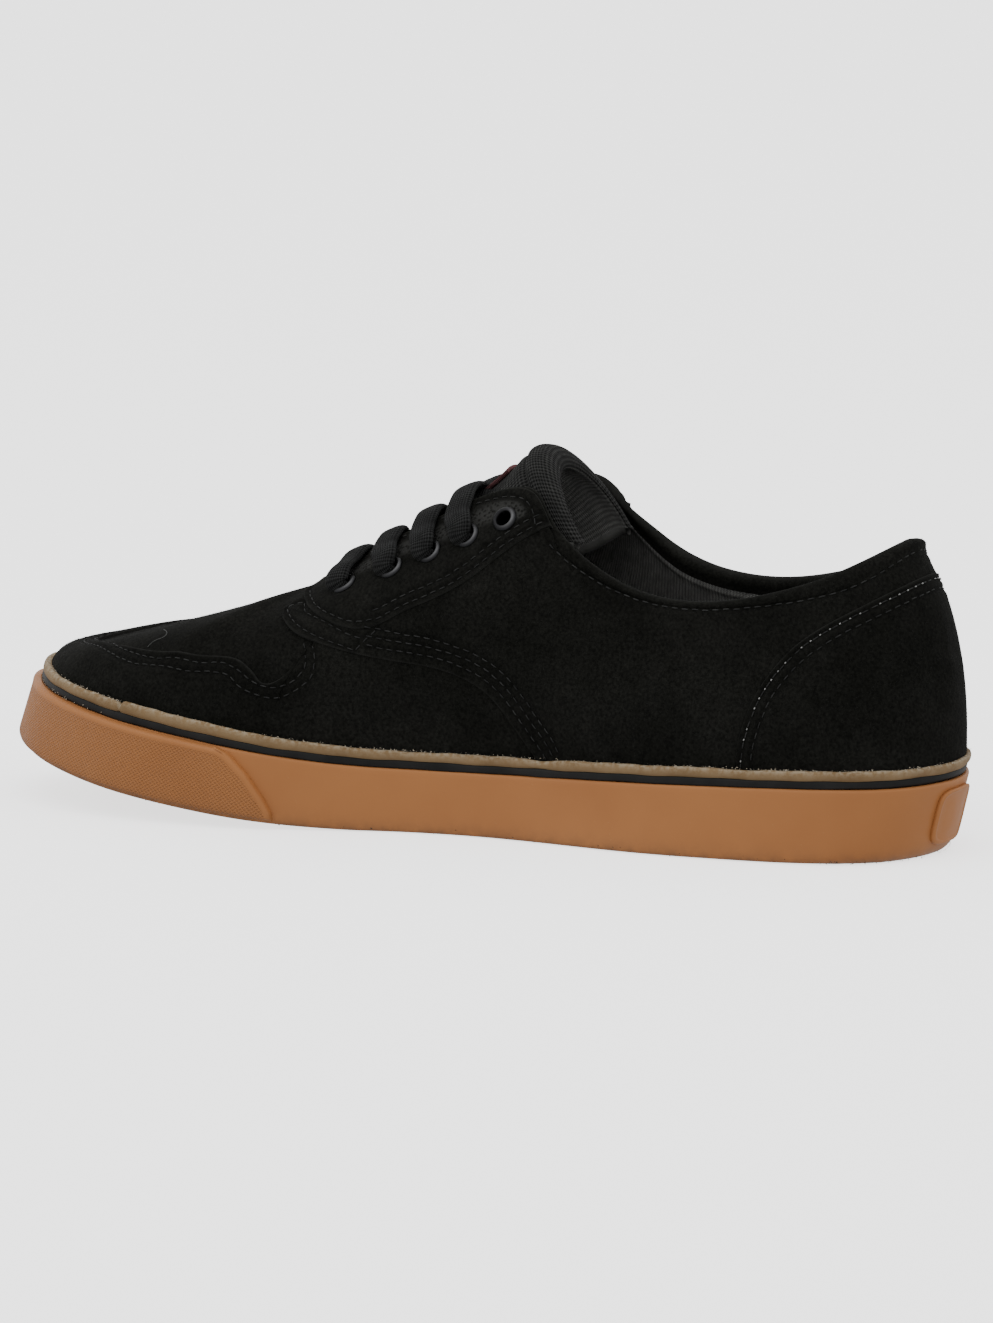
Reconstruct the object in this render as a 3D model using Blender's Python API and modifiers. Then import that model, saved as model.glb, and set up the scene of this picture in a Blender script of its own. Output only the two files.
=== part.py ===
"""Low-cut skateboarding shoe, right foot, as separate solids, in metres.

+X runs to the toe, +Y to the inner (medial) side and +Z up. The origin is on the floor,
at the middle of the shoe's length and width. A place along the sole's edge is u, a share of
the edge's length from the middle of the heel, round the medial side first. A place on the
upper is its side, its rib and its climb: the rib is a share of that side's edge, from heel
to toe, and the climb runs from the top of the rubber sidewall, 0, to the top line, 1.
"""
import math

import bmesh
import bpy
import numpy as np
from mathutils import Matrix, Vector

MM = 0.001
MEDIAL = 1
LATERAL = -1

# Driving sizes
SOLE_LENGTH = 300 * MM
BALL_WIDTH = 106 * MM
HEEL_WIDTH = 76 * MM
COLLAR_WIDTH = 60 * MM
INSTEP_HEIGHT = 100 * MM
TOE_SPRING = 17.5 * MM
UPPER_WALL = 2.2 * MM
COLLAR_PADDING = 2.4 * MM
PANEL_THICKNESS = 1.1 * MM
PANEL_LIFT = 0.4 * MM
OUTSOLE_THICKNESS = 10.5 * MM
INSOLE_THICKNESS = 4.5 * MM
FOXING_HEIGHT = 26.7 * MM
FOXING_WALL = 3.0 * MM
WALL_LEAN = 0.24
TOE_LEAN = 0.10
STRIPE_HEIGHT = 2.4 * MM
WELT_HEIGHT = 2.6 * MM
BUMPER_THICKNESS = 1.8 * MM
BADGE_WIDTH = 21 * MM
BADGE_HEIGHT = 16 * MM
BADGE_THICKNESS = 1.3 * MM
TONGUE_THICKNESS = 4.6 * MM
LACE_WIDTH = 7.2 * MM
LACE_THICKNESS = 1.8 * MM
EYELET_DIAMETER = 7.8 * MM
EYELET_HOLE = 4.4 * MM
EYELET_WALL = 0.5 * MM
EYELET_LIP = 0.9 * MM
GROOVE_WIDTH = 2.4 * MM
GROOVE_DEPTH = 2.0 * MM
GROOVE_PITCH = 18 * MM
GAP = 0.3 * MM

# Where things start and end, as shares of the sole's length, or of the way round its edge
SPRING_START = 0.56
SPRING_CURVE = 1.6
CREST_SIDE = 2.5 * MM
CREST_SLOPE = 0.27
HEEL_ROUNDING = 4.0 * MM
EDGE_ROUNDING = 1.0 * MM
HEEL_ROUND_SHARE = 0.14
STRIPE_INSET = 0.7 * MM
WELT_INSET = 0.2 * MM
WELT_CROWN = 0.5 * MM
FOOTBED_EDGE = 0.6 * MM
BADGE_RISE = 3.5 * MM
BUMPER_MARGIN = 1.2 * MM

# Edge of the sole where it meets the floor: share of its length from the heel, then
# distance from the middle line as a share of half the local width, medial side first
OUTLINE = (
    # along, side
    (0.000, 0.00), (0.008, 0.33), (0.035, 0.67), (0.090, 0.885), (0.170, 0.985), (0.260, 0.985),
    (0.350, 0.865), (0.430, 0.765), (0.510, 0.755), (0.590, 0.835), (0.670, 0.935), (0.750, 0.965),
    (0.820, 0.945), (0.885, 0.840), (0.940, 0.655), (0.980, 0.370), (1.000, 0.030), (0.985, -0.320),
    (0.945, -0.610), (0.885, -0.830), (0.820, -0.955), (0.740, -1.020), (0.660, -1.020),
    (0.580, -0.960), (0.500, -0.895), (0.420, -0.870), (0.330, -0.930), (0.250, -1.000),
    (0.170, -1.020), (0.100, -0.955), (0.040, -0.740), (0.010, -0.380),
)

# Height of the rubber sidewall: share of the length, share of its height at the heel
SIDEWALL = (
    # along, height
    (0.00, 1.000), (0.25, 0.948), (0.50, 0.880), (0.70, 0.944), (0.85, 0.944), (1.00, 0.880),
)

# Toe bumper: where it ends, as ribs, and its section from its foot up: climb, swell
BUMPER_END = 0.716
BUMPER_SWEEP = 0.070
BUMPER_FIRST = 0.640
BUMPER_PROFILE = (
    # climb, swell
    (0.00, 0.80), (0.12, 1.00), (0.85, 1.00), (1.00, 0.45),
)

# Ribs of the upper, each from the sidewall's top to the top line. Top: along is a share of
# the sole's length from the heel, side a share of half the collar's width, height a share
# of the instep's. Rises are degrees from level, inward. Pulls are shares of the rib's chord.
RIBS = (
    # rib, along, side, height, foot rise, top rise, foot pull, top pull
    (0.000, 0.062, 0.000, 0.882, 91, 58, 0.36, 0.33),
    (0.072, 0.074, 0.410, 0.856, 92, 62, 0.36, 0.33),
    (0.115, 0.101, 0.680, 0.812, 93, 69, 0.35, 0.33),
    (0.165, 0.140, 0.860, 0.766, 95, 74, 0.34, 0.33),
    (0.212, 0.183, 0.950, 0.732, 96, 77, 0.33, 0.33),
    (0.265, 0.233, 0.995, 0.713, 96, 78, 0.32, 0.33),
    (0.315, 0.280, 0.990, 0.724, 96, 77, 0.32, 0.33),
    (0.362, 0.320, 0.960, 0.762, 96, 74, 0.33, 0.33),
    (0.400, 0.353, 0.920, 0.818, 95, 69, 0.33, 0.33),
    (0.436, 0.382, 0.860, 0.890, 94, 62, 0.34, 0.33),
    (0.460, 0.395, 0.800, 0.938, 93, 56, 0.34, 0.33),
    (0.483, 0.407, 0.720, 0.980, 92, 50, 0.34, 0.33),
    (0.510, 0.427, 0.640, 0.998, 92, 45, 0.35, 0.34),
    (0.540, 0.460, 0.570, 0.975, 91, 42, 0.35, 0.35),
    (0.580, 0.507, 0.500, 0.910, 90, 39, 0.35, 0.35),
    (0.630, 0.560, 0.420, 0.830, 89, 34, 0.35, 0.36),
    (0.677, 0.613, 0.330, 0.745, 87, 26, 0.35, 0.38),
    (0.709, 0.647, 0.250, 0.690, 85, 17, 0.35, 0.40),
    (0.733, 0.666, 0.130, 0.663, 83, 7, 0.35, 0.41),
    (0.750, 0.672, 0.000, 0.656, 81, 0, 0.35, 0.41),
    (0.777, 0.700, 0.000, 0.625, 79, 0, 0.34, 0.40),
    (0.810, 0.740, 0.000, 0.585, 76, 0, 0.33, 0.40),
    (0.845, 0.783, 0.000, 0.543, 72, 0, 0.32, 0.40),
    (0.880, 0.827, 0.000, 0.504, 67, 0, 0.31, 0.40),
    (0.920, 0.862, 0.000, 0.474, 59, 0, 0.30, 0.40),
    (1.000, 0.889, 0.000, 0.450, 47, 0, 0.30, 0.40),
)
THROAT_FRONT = 0.750
COLLAR_FRONT = 0.436

# Ribs at which every piece is drawn, so that neighbours have the same facets: the table's
# own, and more where the edge or a panel turns quickly
MORE_RIBS = (0.036, 0.140, 0.181, 0.196, 0.220, 0.496, 0.525, 0.605, 0.655, 0.900, 0.955)
STATIONS = tuple(sorted([row[0] for row in RIBS] + list(MORE_RIBS)))
CLIMBS = (0.00, 0.20, 0.40, 0.57, 0.73, 0.87, 1.00)

# Eyelets, front to back: rib and climb
EYELETS = (
    # rib, climb
    (0.656, 0.735), (0.616, 0.755), (0.581, 0.780), (0.547, 0.800), (0.515, 0.845),
)

# Lower edge of the eyestay, from the collar to the throat's front: rib and climb
EYESTAY_EDGE = (
    # rib, climb
    (0.443, 0.950), (0.469, 0.865), (0.496, 0.770), (0.525, 0.650), (0.545, 0.575), (0.565, 0.550),
    (0.585, 0.480), (0.606, 0.475), (0.625, 0.505), (0.655, 0.580), (0.677, 0.665), (0.709, 0.800),
)

# Front and lower edge of the quarter, from the sidewall to its pointed tip: rib and climb
QUARTER_EDGE = (
    # rib, climb
    (0.402, 0.000), (0.436, 0.195), (0.460, 0.262), (0.483, 0.280), (0.542, 0.312), (0.580, 0.345),
    (0.611, 0.380), (0.634, 0.415), (0.655, 0.462), (0.677, 0.530), (0.709, 0.690),
)

# Upper edge of the toe panel, in front of the quarter's tip, with its dip: rib and climb
TOE_PANEL_EDGE = (
    # rib, climb
    (0.638, 0.300), (0.646, 0.225), (0.655, 0.220), (0.677, 0.285), (0.694, 0.330), (0.709, 0.335),
    (0.733, 0.300), (0.760, 0.277), (0.810, 0.300), (0.860, 0.370), (0.920, 0.480), (1.000, 0.580),
)
TOE_PANEL_DIP = 0.634

# Upper edge of the heel counter: rib and climb
COUNTER_EDGE = (
    # rib, climb
    (0.000, 0.815), (0.036, 0.810), (0.072, 0.795), (0.115, 0.750), (0.140, 0.705), (0.165, 0.610),
    (0.181, 0.505), (0.196, 0.380), (0.212, 0.180), (0.220, 0.000),
)

# Crown of the tongue's outer face, front to back. Each section is half an ellipse: its half
# width and depth are shares of half the collar's width, and lean is how far it tips back
# from upright, in degrees
TONGUE = (
    # along, height, half width, depth, lean
    (0.700, 0.552, 0.56, 0.24, 20), (0.668, 0.594, 0.62, 0.30, 24), (0.640, 0.648, 0.66, 0.36, 26),
    (0.600, 0.724, 0.68, 0.44, 28), (0.560, 0.808, 0.69, 0.54, 30), (0.520, 0.886, 0.70, 0.66, 32),
    (0.488, 0.956, 0.70, 0.80, 34), (0.462, 1.022, 0.70, 0.92, 36), (0.438, 1.076, 0.68, 1.00, 38),
)
TONGUE_POINTS = 9

# How far forward a lace leans where it passes the throat's edge: a crossing's as a share of
# its way to the next eyelet, and the bar's as ribs
LACE_LEAN = 0.35
BAR_LEAN = 0.016


def spline(knots, rows):
    """Natural cubic through the rows, as a function of the knots."""
    knots = np.array(knots, float)
    rows = np.array(rows, float)
    count = len(knots)
    step = np.diff(knots)
    matrix = np.zeros((count, count))
    right = np.zeros((count,) + rows.shape[1:])
    matrix[0, 0] = 1
    matrix[-1, -1] = 1
    for i in range(1, count - 1):
        matrix[i, i - 1:i + 2] = (step[i - 1], 2 * (step[i - 1] + step[i]), step[i])
        right[i] = 6 * ((rows[i + 1] - rows[i]) / step[i] - (rows[i] - rows[i - 1]) / step[i - 1])
    bend = np.linalg.solve(matrix, right)

    def value(at):
        at = np.asarray(at, float)
        i = np.clip(np.searchsorted(knots, at) - 1, 0, count - 2)
        width = step[i]
        low = knots[i + 1] - at
        high = at - knots[i]
        if rows.ndim > 1:
            low, high, width = low[..., None], high[..., None], width[..., None]
        cubic = (bend[i] * low ** 3 + bend[i + 1] * high ** 3) / (6 * width)
        return (cubic + (rows[i] / width - bend[i] * width / 6) * low
                + (rows[i + 1] / width - bend[i + 1] * width / 6) * high)
    return value


def smooth(share):
    """Ease from 0 to 1."""
    share = np.clip(share, 0, 1)
    return share * share * (3 - 2 * share)


# Sole edge
HEEL_X = -SOLE_LENGTH / 2 + WALL_LEAN * FOXING_HEIGHT
TOE_X = SOLE_LENGTH / 2 - BUMPER_THICKNESS - GAP
FLOOR_LENGTH = TOE_X - HEEL_X


def edge_curve(samples=1440):
    """The sole's edge on the floor: points, share of the way round, and the toe's share."""
    rows = []
    for along, side in OUTLINE:
        widen = smooth((along - 0.15) / 0.55)
        half_width = (HEEL_WIDTH + (BALL_WIDTH - HEEL_WIDTH) * widen) / 2
        rows.append((HEEL_X + along * FLOOR_LENGTH, side * half_width))
    rows = np.array(rows)
    wrap = 4
    looped = np.vstack([rows[-wrap:], rows, rows[:wrap + 1]])
    knots = np.r_[0, np.cumsum(np.hypot(*np.diff(looped, axis=0).T))]
    points = spline(knots, looped)(np.linspace(knots[wrap], knots[wrap + len(rows)], samples + 1))
    points[:, 1] -= (points[:, 1].max() + points[:, 1].min()) / 2
    shares = np.r_[0, np.cumsum(np.hypot(*np.diff(points, axis=0).T))]
    shares /= shares[-1]
    return points, shares, shares[points[:, 0].argmax()]


EDGE_POINTS, EDGE_SHARES, TOE_SHARE = edge_curve()
sidewall_share = spline(*np.array(SIDEWALL).T)


def edge(u):
    """Point of the sole's edge on the floor, in plan."""
    u = np.asarray(u, float) % 1.0
    return np.stack([np.interp(u, EDGE_SHARES, EDGE_POINTS[:, 0]),
                     np.interp(u, EDGE_SHARES, EDGE_POINTS[:, 1])], -1)


def inward(u, reach=0.004):
    """Unit vector in plan from the sole's edge towards its middle."""
    along = edge(np.asarray(u) + reach) - edge(np.asarray(u) - reach)
    along /= np.linalg.norm(along, axis=-1, keepdims=True)
    return np.stack([along[..., 1], -along[..., 0]], -1)


def along_sole(x):
    return np.clip((np.asarray(x) - HEEL_X) / FLOOR_LENGTH, 0, 1)


def toe_spring(x):
    """Height of the sole's underside above the floor."""
    rise = np.clip((along_sole(x) - SPRING_START) / (1 - SPRING_START), 0, 1)
    return TOE_SPRING * rise ** SPRING_CURVE


def sidewall_height(u):
    return FOXING_HEIGHT * sidewall_share(along_sole(edge(u)[..., 0]))


def wall_point(u, height, inset):
    """Point of the sidewall at a height above its foot, an inset in from its face."""
    plan = edge(u) + inward(u) * np.asarray(inset)[..., None]
    height = np.asarray(height) + 0 * plan[..., 0]
    floor = toe_spring(plan[..., 0])
    lean = WALL_LEAN + TOE_LEAN * smooth((along_sole(plan[..., 0]) - 0.75) / 0.25)
    return np.stack([plan[..., 0] - lean * height, plan[..., 1], floor + height], -1)


def share_round(side, rib):
    """Share of the way round the edge where a rib of that side stands."""
    rib = np.asarray(rib, float)
    return rib * TOE_SHARE if side == MEDIAL else 1 - rib * (1 - TOE_SHARE)


# Upper
rib_columns = spline([row[0] for row in RIBS], [row[1:] for row in RIBS])


def upper_point(side, rib, climb):
    """Point of the upper's outer face, on the cubic from the sidewall to the top line."""
    rib = np.asarray(rib, float) + 0 * np.asarray(climb, float)
    climb = np.asarray(climb, float)[..., None] + 0 * rib[..., None]
    row = rib_columns(rib)
    u = share_round(side, rib)
    foot = wall_point(u, sidewall_height(u), FOXING_WALL + GAP + 0 * u)
    middle = CREST_SIDE * smooth((rib - 0.45) / 0.25)
    reach = np.where(rib >= THROAT_FRONT, 0, np.maximum(row[..., 1], 0)) * COLLAR_WIDTH / 2
    top = np.stack([row[..., 0] * SOLE_LENGTH - SOLE_LENGTH / 2, middle + side * reach,
                    row[..., 2] * INSTEP_HEIGHT], -1)
    chord = np.linalg.norm(top - foot, axis=-1)
    plan = inward(u)
    foot_rise = np.radians(row[..., 3])
    top_rise = np.radians(row[..., 4])
    slope = CREST_SLOPE * smooth((rib - COLLAR_FRONT) / (THROAT_FRONT - COLLAR_FRONT))
    foot_way = np.concatenate([plan * np.cos(foot_rise)[..., None], np.sin(foot_rise)[..., None]], -1)
    flat = np.cos(top_rise)[..., None] * plan
    top_way = np.concatenate([flat, (np.sin(top_rise) - slope * flat[..., 0])[..., None]], -1)
    first = foot + foot_way * (row[..., 5] * chord)[..., None]
    second = top - top_way * (row[..., 6] * chord)[..., None]
    rest = 1 - climb
    return (rest ** 3 * foot + 3 * rest ** 2 * climb * first
            + 3 * rest * climb ** 2 * second + climb ** 3 * top)


def upper_normal(side, rib, climb, reach=0.004):
    """Unit vector out of the upper's face."""
    rib = np.clip(np.asarray(rib, float), 0, 1)
    ahead = np.clip(rib + reach, 0, 1)
    behind = np.clip(rib - reach, 0, 1)
    lower = np.clip(np.asarray(climb) - reach * 5, 0, 1)
    upper = np.clip(np.asarray(climb) + reach * 5, 0, 1)
    along = upper_point(side, ahead, climb) - upper_point(side, behind, climb)
    rising = upper_point(side, rib, upper) - upper_point(side, rib, lower)
    normal = np.cross(rising, along) * side
    return normal / np.linalg.norm(normal, axis=-1, keepdims=True)


def lifted(side, rib, climb, lift):
    """Point at a lift above the upper's face."""
    return upper_point(side, rib, climb) + upper_normal(side, rib, climb) * lift


# Scene helpers
def clear_scene():
    for thing in list(bpy.data.objects):
        bpy.data.objects.remove(thing)


def collection(name, cutters=False):
    group = bpy.data.collections.new(name)
    bpy.context.scene.collection.children.link(group)
    group.hide_render = cutters
    return group


def material(name, colour, roughness, metallic=0.0):
    made = bpy.data.materials.new(name)
    made.use_nodes = True
    shader = made.node_tree.nodes["Principled BSDF"]
    shader.inputs["Base Color"].default_value = (*colour, 1)
    shader.inputs["Roughness"].default_value = roughness
    shader.inputs["Metallic"].default_value = metallic
    return made


def add_object(name, mesh_builder, group, finish=None):
    """Object from a bmesh, with its faces pointing out."""
    bmesh.ops.recalc_face_normals(mesh_builder, faces=mesh_builder.faces)
    mesh = bpy.data.meshes.new(name)
    mesh_builder.to_mesh(mesh)
    mesh_builder.free()
    thing = bpy.data.objects.new(name, mesh)
    group.objects.link(thing)
    if finish:
        mesh.materials.append(finish)
    return thing


def bridge_rows(mesh_builder, rows, close_rows=False, close_ring=False):
    """Quads between rows of vertices; rows may be loops, and the last may meet the first."""
    count = len(rows)
    for i in range(count if close_ring else count - 1):
        row, following = rows[i], rows[(i + 1) % count]
        width = len(row)
        for j in range(width if close_rows else width - 1):
            k = (j + 1) % width
            corners = [row[j], row[k], following[k], following[j]]
            distinct = list(dict.fromkeys(corners))
            if len(distinct) > 2:
                mesh_builder.faces.new(distinct)


def ring_solid(name, sections, group, finish):
    """Closed ring through cross-sections, each a loop of points."""
    builder = bmesh.new()
    rows = [[builder.verts.new(point) for point in section] for section in sections]
    bridge_rows(builder, rows, close_rows=True, close_ring=True)
    return add_object(name, builder, group, finish)


def slab_solid(name, outer, inner, group, finish):
    """Closed solid between two grids of points of the same size."""
    builder = bmesh.new()
    outer_rows = [[builder.verts.new(point) for point in row] for row in outer]
    inner_rows = [[builder.verts.new(point) for point in row] for row in inner]
    bridge_rows(builder, outer_rows)
    bridge_rows(builder, inner_rows)
    for first, second in ((outer_rows[0], inner_rows[0]), (outer_rows[-1], inner_rows[-1])):
        bridge_rows(builder, [first, second])
    for end in (0, -1):
        bridge_rows(builder, [[row[end] for row in outer_rows], [row[end] for row in inner_rows]])
    bmesh.ops.remove_doubles(builder, verts=builder.verts, dist=1e-6)
    return add_object(name, builder, group, finish)


def cut(target, cutter, operation="DIFFERENCE"):
    step = target.modifiers.new(cutter.name, "BOOLEAN")
    step.operation = operation
    step.object = cutter
    cutter.hide_render = True
    cutter.display_type = "WIRE"


def facet(thing):
    """Split each quad along its shorter diagonal, so that neighbouring layers have one shape."""
    step = thing.modifiers.new("facets", "TRIANGULATE")
    step.quad_method = "SHORTEST_DIAGONAL"
    return thing


# Sole pieces
def ring_shares():
    """Shares of the way round at which the rings are drawn, once round from the heel."""
    medial = [share_round(MEDIAL, rib) for rib in STATIONS]
    lateral = [share_round(LATERAL, rib) for rib in STATIONS[-2:0:-1]]
    return np.array(medial + lateral)


def make_foxing(parts, finish):
    """Gum sidewall, rounded under the heel."""
    sections = []
    for u in ring_shares():
        top = sidewall_height(u) - STRIPE_HEIGHT - WELT_HEIGHT - 2 * GAP
        near_heel = 1 - smooth(along_sole(edge(u)[0]) / HEEL_ROUND_SHARE)
        rounding = EDGE_ROUNDING + (HEEL_ROUNDING - EDGE_ROUNDING) * near_heel
        depth = min(rounding, FOXING_WALL * 0.8)
        profile = ((FOXING_WALL, GAP), (depth, GAP), (0, GAP + rounding), (0, top - EDGE_ROUNDING / 2),
                   (EDGE_ROUNDING / 2, top), (FOXING_WALL, top))
        sections.append([wall_point(u, height, inset) for inset, height in profile])
    return ring_solid("foxing", sections, parts, finish)


def strip_ring(name, low, height, inset, crown, parts, finish):
    """Thin strip laid round the sidewall's top; crown is its bulge."""
    sections = []
    for u in ring_shares():
        base = sidewall_height(u) - low
        profile = ((FOXING_WALL, base), (inset, base), (inset - crown, base + height / 2),
                   (inset, base + height), (FOXING_WALL, base + height))
        if crown == 0:
            profile = profile[:2] + profile[3:]
        sections.append([wall_point(u, level, depth) for depth, level in profile])
    return ring_solid(name, sections, parts, finish)


def make_bumper(parts, finish):
    """Raised rubber strip round the toe; its ends sweep back towards the floor."""
    outer, inner = [], []
    for climb, swell in BUMPER_PROFILE:
        end = BUMPER_END - BUMPER_SWEEP * math.sqrt(1 - 0.96 * climb ** 2)
        ribs = [max(rib, end) for rib in STATIONS if rib > BUMPER_FIRST]
        shares = np.array([share_round(MEDIAL, rib) for rib in ribs]
                          + [share_round(LATERAL, rib) for rib in ribs[-2::-1]])
        top = sidewall_height(shares) - STRIPE_HEIGHT - WELT_HEIGHT - 2 * GAP - BUMPER_MARGIN
        height = BUMPER_MARGIN + (top - BUMPER_MARGIN) * climb
        outer.append(wall_point(shares, height, -GAP - BUMPER_THICKNESS * swell + 0 * shares))
        inner.append(wall_point(shares, height, -GAP + 0 * shares))
    return slab_solid("toe_bumper", outer, inner, parts, finish)


def make_badge(parts, finish):
    """Plain raised pad with round corners on the middle of the heel."""
    builder = bmesh.new()
    loops = []
    edge_length = np.hypot(*np.diff(EDGE_POINTS, axis=0).T).sum()
    middle = BADGE_RISE + BADGE_HEIGHT / 2
    for inset, lift in ((0, GAP), (0, BADGE_THICKNESS * 0.7), (0.08, BADGE_THICKNESS + GAP)):
        loop = []
        for turn in np.linspace(0, 2 * math.pi, 20, endpoint=False):
            across = math.copysign(abs(math.cos(turn)) ** 0.5, math.cos(turn)) * (1 - inset)
            up = math.copysign(abs(math.sin(turn)) ** 0.5, math.sin(turn)) * (1 - inset)
            u = across * BADGE_WIDTH / 2 / edge_length
            loop.append(builder.verts.new(wall_point(u, middle + up * BADGE_HEIGHT / 2, -lift)))
        loops.append(loop)
    bridge_rows(builder, loops, close_rows=True)
    for loop, lift in ((loops[0], GAP), (loops[-1], BADGE_THICKNESS + GAP)):
        centre = builder.verts.new(wall_point(0.0, middle, -lift))
        for j, corner in enumerate(loop):
            builder.faces.new((corner, loop[(j + 1) % len(loop)], centre))
    return add_object("heel_badge", builder, parts, finish)


def make_slab(name, inset, low, high, parts, finish, rounding=0.0):
    """Layer that fills the sole's outline between two heights above its underside."""
    builder = bmesh.new()
    lower_rows, upper_rows = [], []
    for rib in STATIONS:
        ends = [wall_point(share_round(side, rib), low, inset) for side in (MEDIAL, LATERAL)]
        tops = [wall_point(share_round(side, rib), high, inset + rounding) for side in (MEDIAL, LATERAL)]
        lower_rows.append([builder.verts.new(ends[0] + (ends[1] - ends[0]) * t) for t in (0, 0.5, 1)])
        upper_rows.append([builder.verts.new(tops[0] + (tops[1] - tops[0]) * t) for t in (0, 0.5, 1)])
    bridge_rows(builder, lower_rows)
    bridge_rows(builder, upper_rows)
    for side in (0, 2):
        bridge_rows(builder, [[row[side] for row in lower_rows], [row[side] for row in upper_rows]])
    bmesh.ops.remove_doubles(builder, verts=builder.verts, dist=1e-6)
    return add_object(name, builder, parts, finish)


def groove_cutter(index, x, cutters):
    """Zigzag prism across the tread, following the toe spring."""
    builder = bmesh.new()
    folds = 5
    rows = []
    for fold in range(folds):
        y = -BALL_WIDTH * 0.6 + BALL_WIDTH * 1.2 * fold / (folds - 1)
        middle = x + (GROOVE_PITCH * 0.22 if fold % 2 else -GROOVE_PITCH * 0.22)
        row = []
        for place, level in ((-0.5, -1), (0.5, -1), (0.5, 1), (-0.5, 1)):
            across = middle + place * GROOVE_WIDTH
            roof = toe_spring(across) + GROOVE_DEPTH
            row.append(builder.verts.new((across, y, roof if level > 0 else -GROOVE_DEPTH)))
        rows.append(row)
    bridge_rows(builder, rows, close_rows=True)
    builder.faces.new(rows[0])
    builder.faces.new(rows[-1])
    return add_object(f"groove_{index}", builder, cutters)


def make_outsole(parts, cutters, finish):
    outsole = make_slab("outsole", FOXING_WALL + GAP, 0.0, OUTSOLE_THICKNESS, parts, finish)
    start = HEEL_X + 2.2 * GROOVE_PITCH
    grooves = int((FLOOR_LENGTH - 4 * GROOVE_PITCH) / GROOVE_PITCH) + 1
    for index in range(grooves):
        cut(outsole, groove_cutter(index, start + index * GROOVE_PITCH, cutters))
    return outsole


# Upper pieces
def make_upper(parts, finish):
    """One hollow shell, open at the collar, the throat and underneath."""
    builder = bmesh.new()
    padding = []
    skirt = (OUTSOLE_THICKNESS + GAP, (OUTSOLE_THICKNESS + FOXING_HEIGHT) / 2)
    for side in (MEDIAL, LATERAL):
        rows = []
        for rib in STATIONS:
            u = share_round(side, rib)
            points = [wall_point(u, height, FOXING_WALL + GAP) for height in skirt]
            points += [upper_point(side, rib, climb) for climb in CLIMBS]
            rows.append([builder.verts.new(point) for point in points])
            behind = 1 - smooth((rib - 0.36) / 0.08)
            padding += [0.0, 0.0] + [float(behind * smooth((climb - 0.3) / 0.5)) for climb in CLIMBS]
        bridge_rows(builder, rows)
    builder.verts.ensure_lookup_table()
    layer = builder.verts.layers.deform.verify()
    for vertex, share in zip(builder.verts, padding):
        vertex[layer][0] = share
    bmesh.ops.remove_doubles(builder, verts=builder.verts, dist=1e-6)
    upper = add_object("upper", builder, parts, finish)
    upper.vertex_groups.new(name="padding")
    full = UPPER_WALL + COLLAR_PADDING
    shell = upper.modifiers.new("wall", "SOLIDIFY")
    shell.thickness = full
    shell.offset = -1
    shell.vertex_group = "padding"
    shell.thickness_vertex_group = UPPER_WALL / full
    return facet(upper)


def patch(name, way, low, high, parts, finish):
    """Panel on the upper between two climbs that depend on the rib; way is its ribs by side."""
    outer, inner = [], []
    for side, rib in way:
        climbs = np.clip(CLIMBS, low(rib), max(high(rib), low(rib) + PANEL_GAP))
        ribs = rib + 0 * climbs
        outer.append(lifted(side, ribs, climbs, PANEL_LIFT + PANEL_THICKNESS))
        inner.append(lifted(side, ribs, climbs, PANEL_LIFT))
    return facet(slab_solid(name, outer, inner, parts, finish))


def ribs_between(first, last):
    """The two ends, and the shared stations between them."""
    return [first] + [rib for rib in STATIONS if first + 0.006 < rib < last - 0.006] + [last]


def curve_of(table):
    """Climb of an edge at a rib, straight between the table's rows."""
    ribs, climbs = np.array(table).T
    return lambda rib: np.interp(rib, ribs, climbs)


PANEL_GAP = 0.012
PANEL_FOOT = 0.015
PANEL_TOP = 0.965
quarter_edge = curve_of(QUARTER_EDGE)
eyestay_edge = curve_of(EYESTAY_EDGE)
toe_panel_edge = curve_of(TOE_PANEL_EDGE)
counter_edge = curve_of(COUNTER_EDGE)


def make_toe_panel(parts, finish):
    """Overlay round the toe, from the front edge of one quarter to that of the other."""
    def high(rib):
        return quarter_edge(rib) if rib < TOE_PANEL_DIP else toe_panel_edge(rib)
    ribs = ribs_between(0.409, 1.0)
    way = [(MEDIAL, rib) for rib in ribs] + [(LATERAL, rib) for rib in ribs[-2::-1]]
    return patch("toe_panel", way, lambda rib: PANEL_FOOT, high, parts, finish)


def make_quarter(name, side, parts, finish):
    """Side panel, from the heel counter to its pointed tip beside the throat."""
    def low(rib):
        if rib <= COUNTER_EDGE[-1][0]:
            return max(counter_edge(rib) + PANEL_GAP, PANEL_FOOT + 2 * PANEL_GAP)
        return max(quarter_edge(rib) + PANEL_GAP, PANEL_FOOT)

    def high(rib):
        return PANEL_TOP if rib < COLLAR_FRONT else eyestay_edge(rib) - PANEL_GAP
    way = [(side, rib) for rib in ribs_between(0.018, 0.709)]
    return patch(name, way, low, high, parts, finish)


def make_eyestay(name, side, parts, finish):
    """Facing that carries the eyelets along the throat."""
    way = [(side, rib) for rib in ribs_between(0.446, 0.709)]
    return patch(name, way, eyestay_edge, lambda rib: PANEL_TOP, parts, finish)


def make_counter(parts, finish):
    """Panel wrapped round the heel."""
    ribs = ribs_between(0.0, COUNTER_EDGE[-1][0])
    way = [(MEDIAL, rib) for rib in ribs[::-1]] + [(LATERAL, rib) for rib in ribs[1:]]
    return patch("heel_counter", way, lambda rib: PANEL_FOOT, counter_edge, parts, finish)


# Tongue and insole
def tongue_middle(along):
    """Sideways place of the tongue's crown."""
    return CREST_SIDE * float(smooth((along - 0.38) / 0.28))


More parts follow.
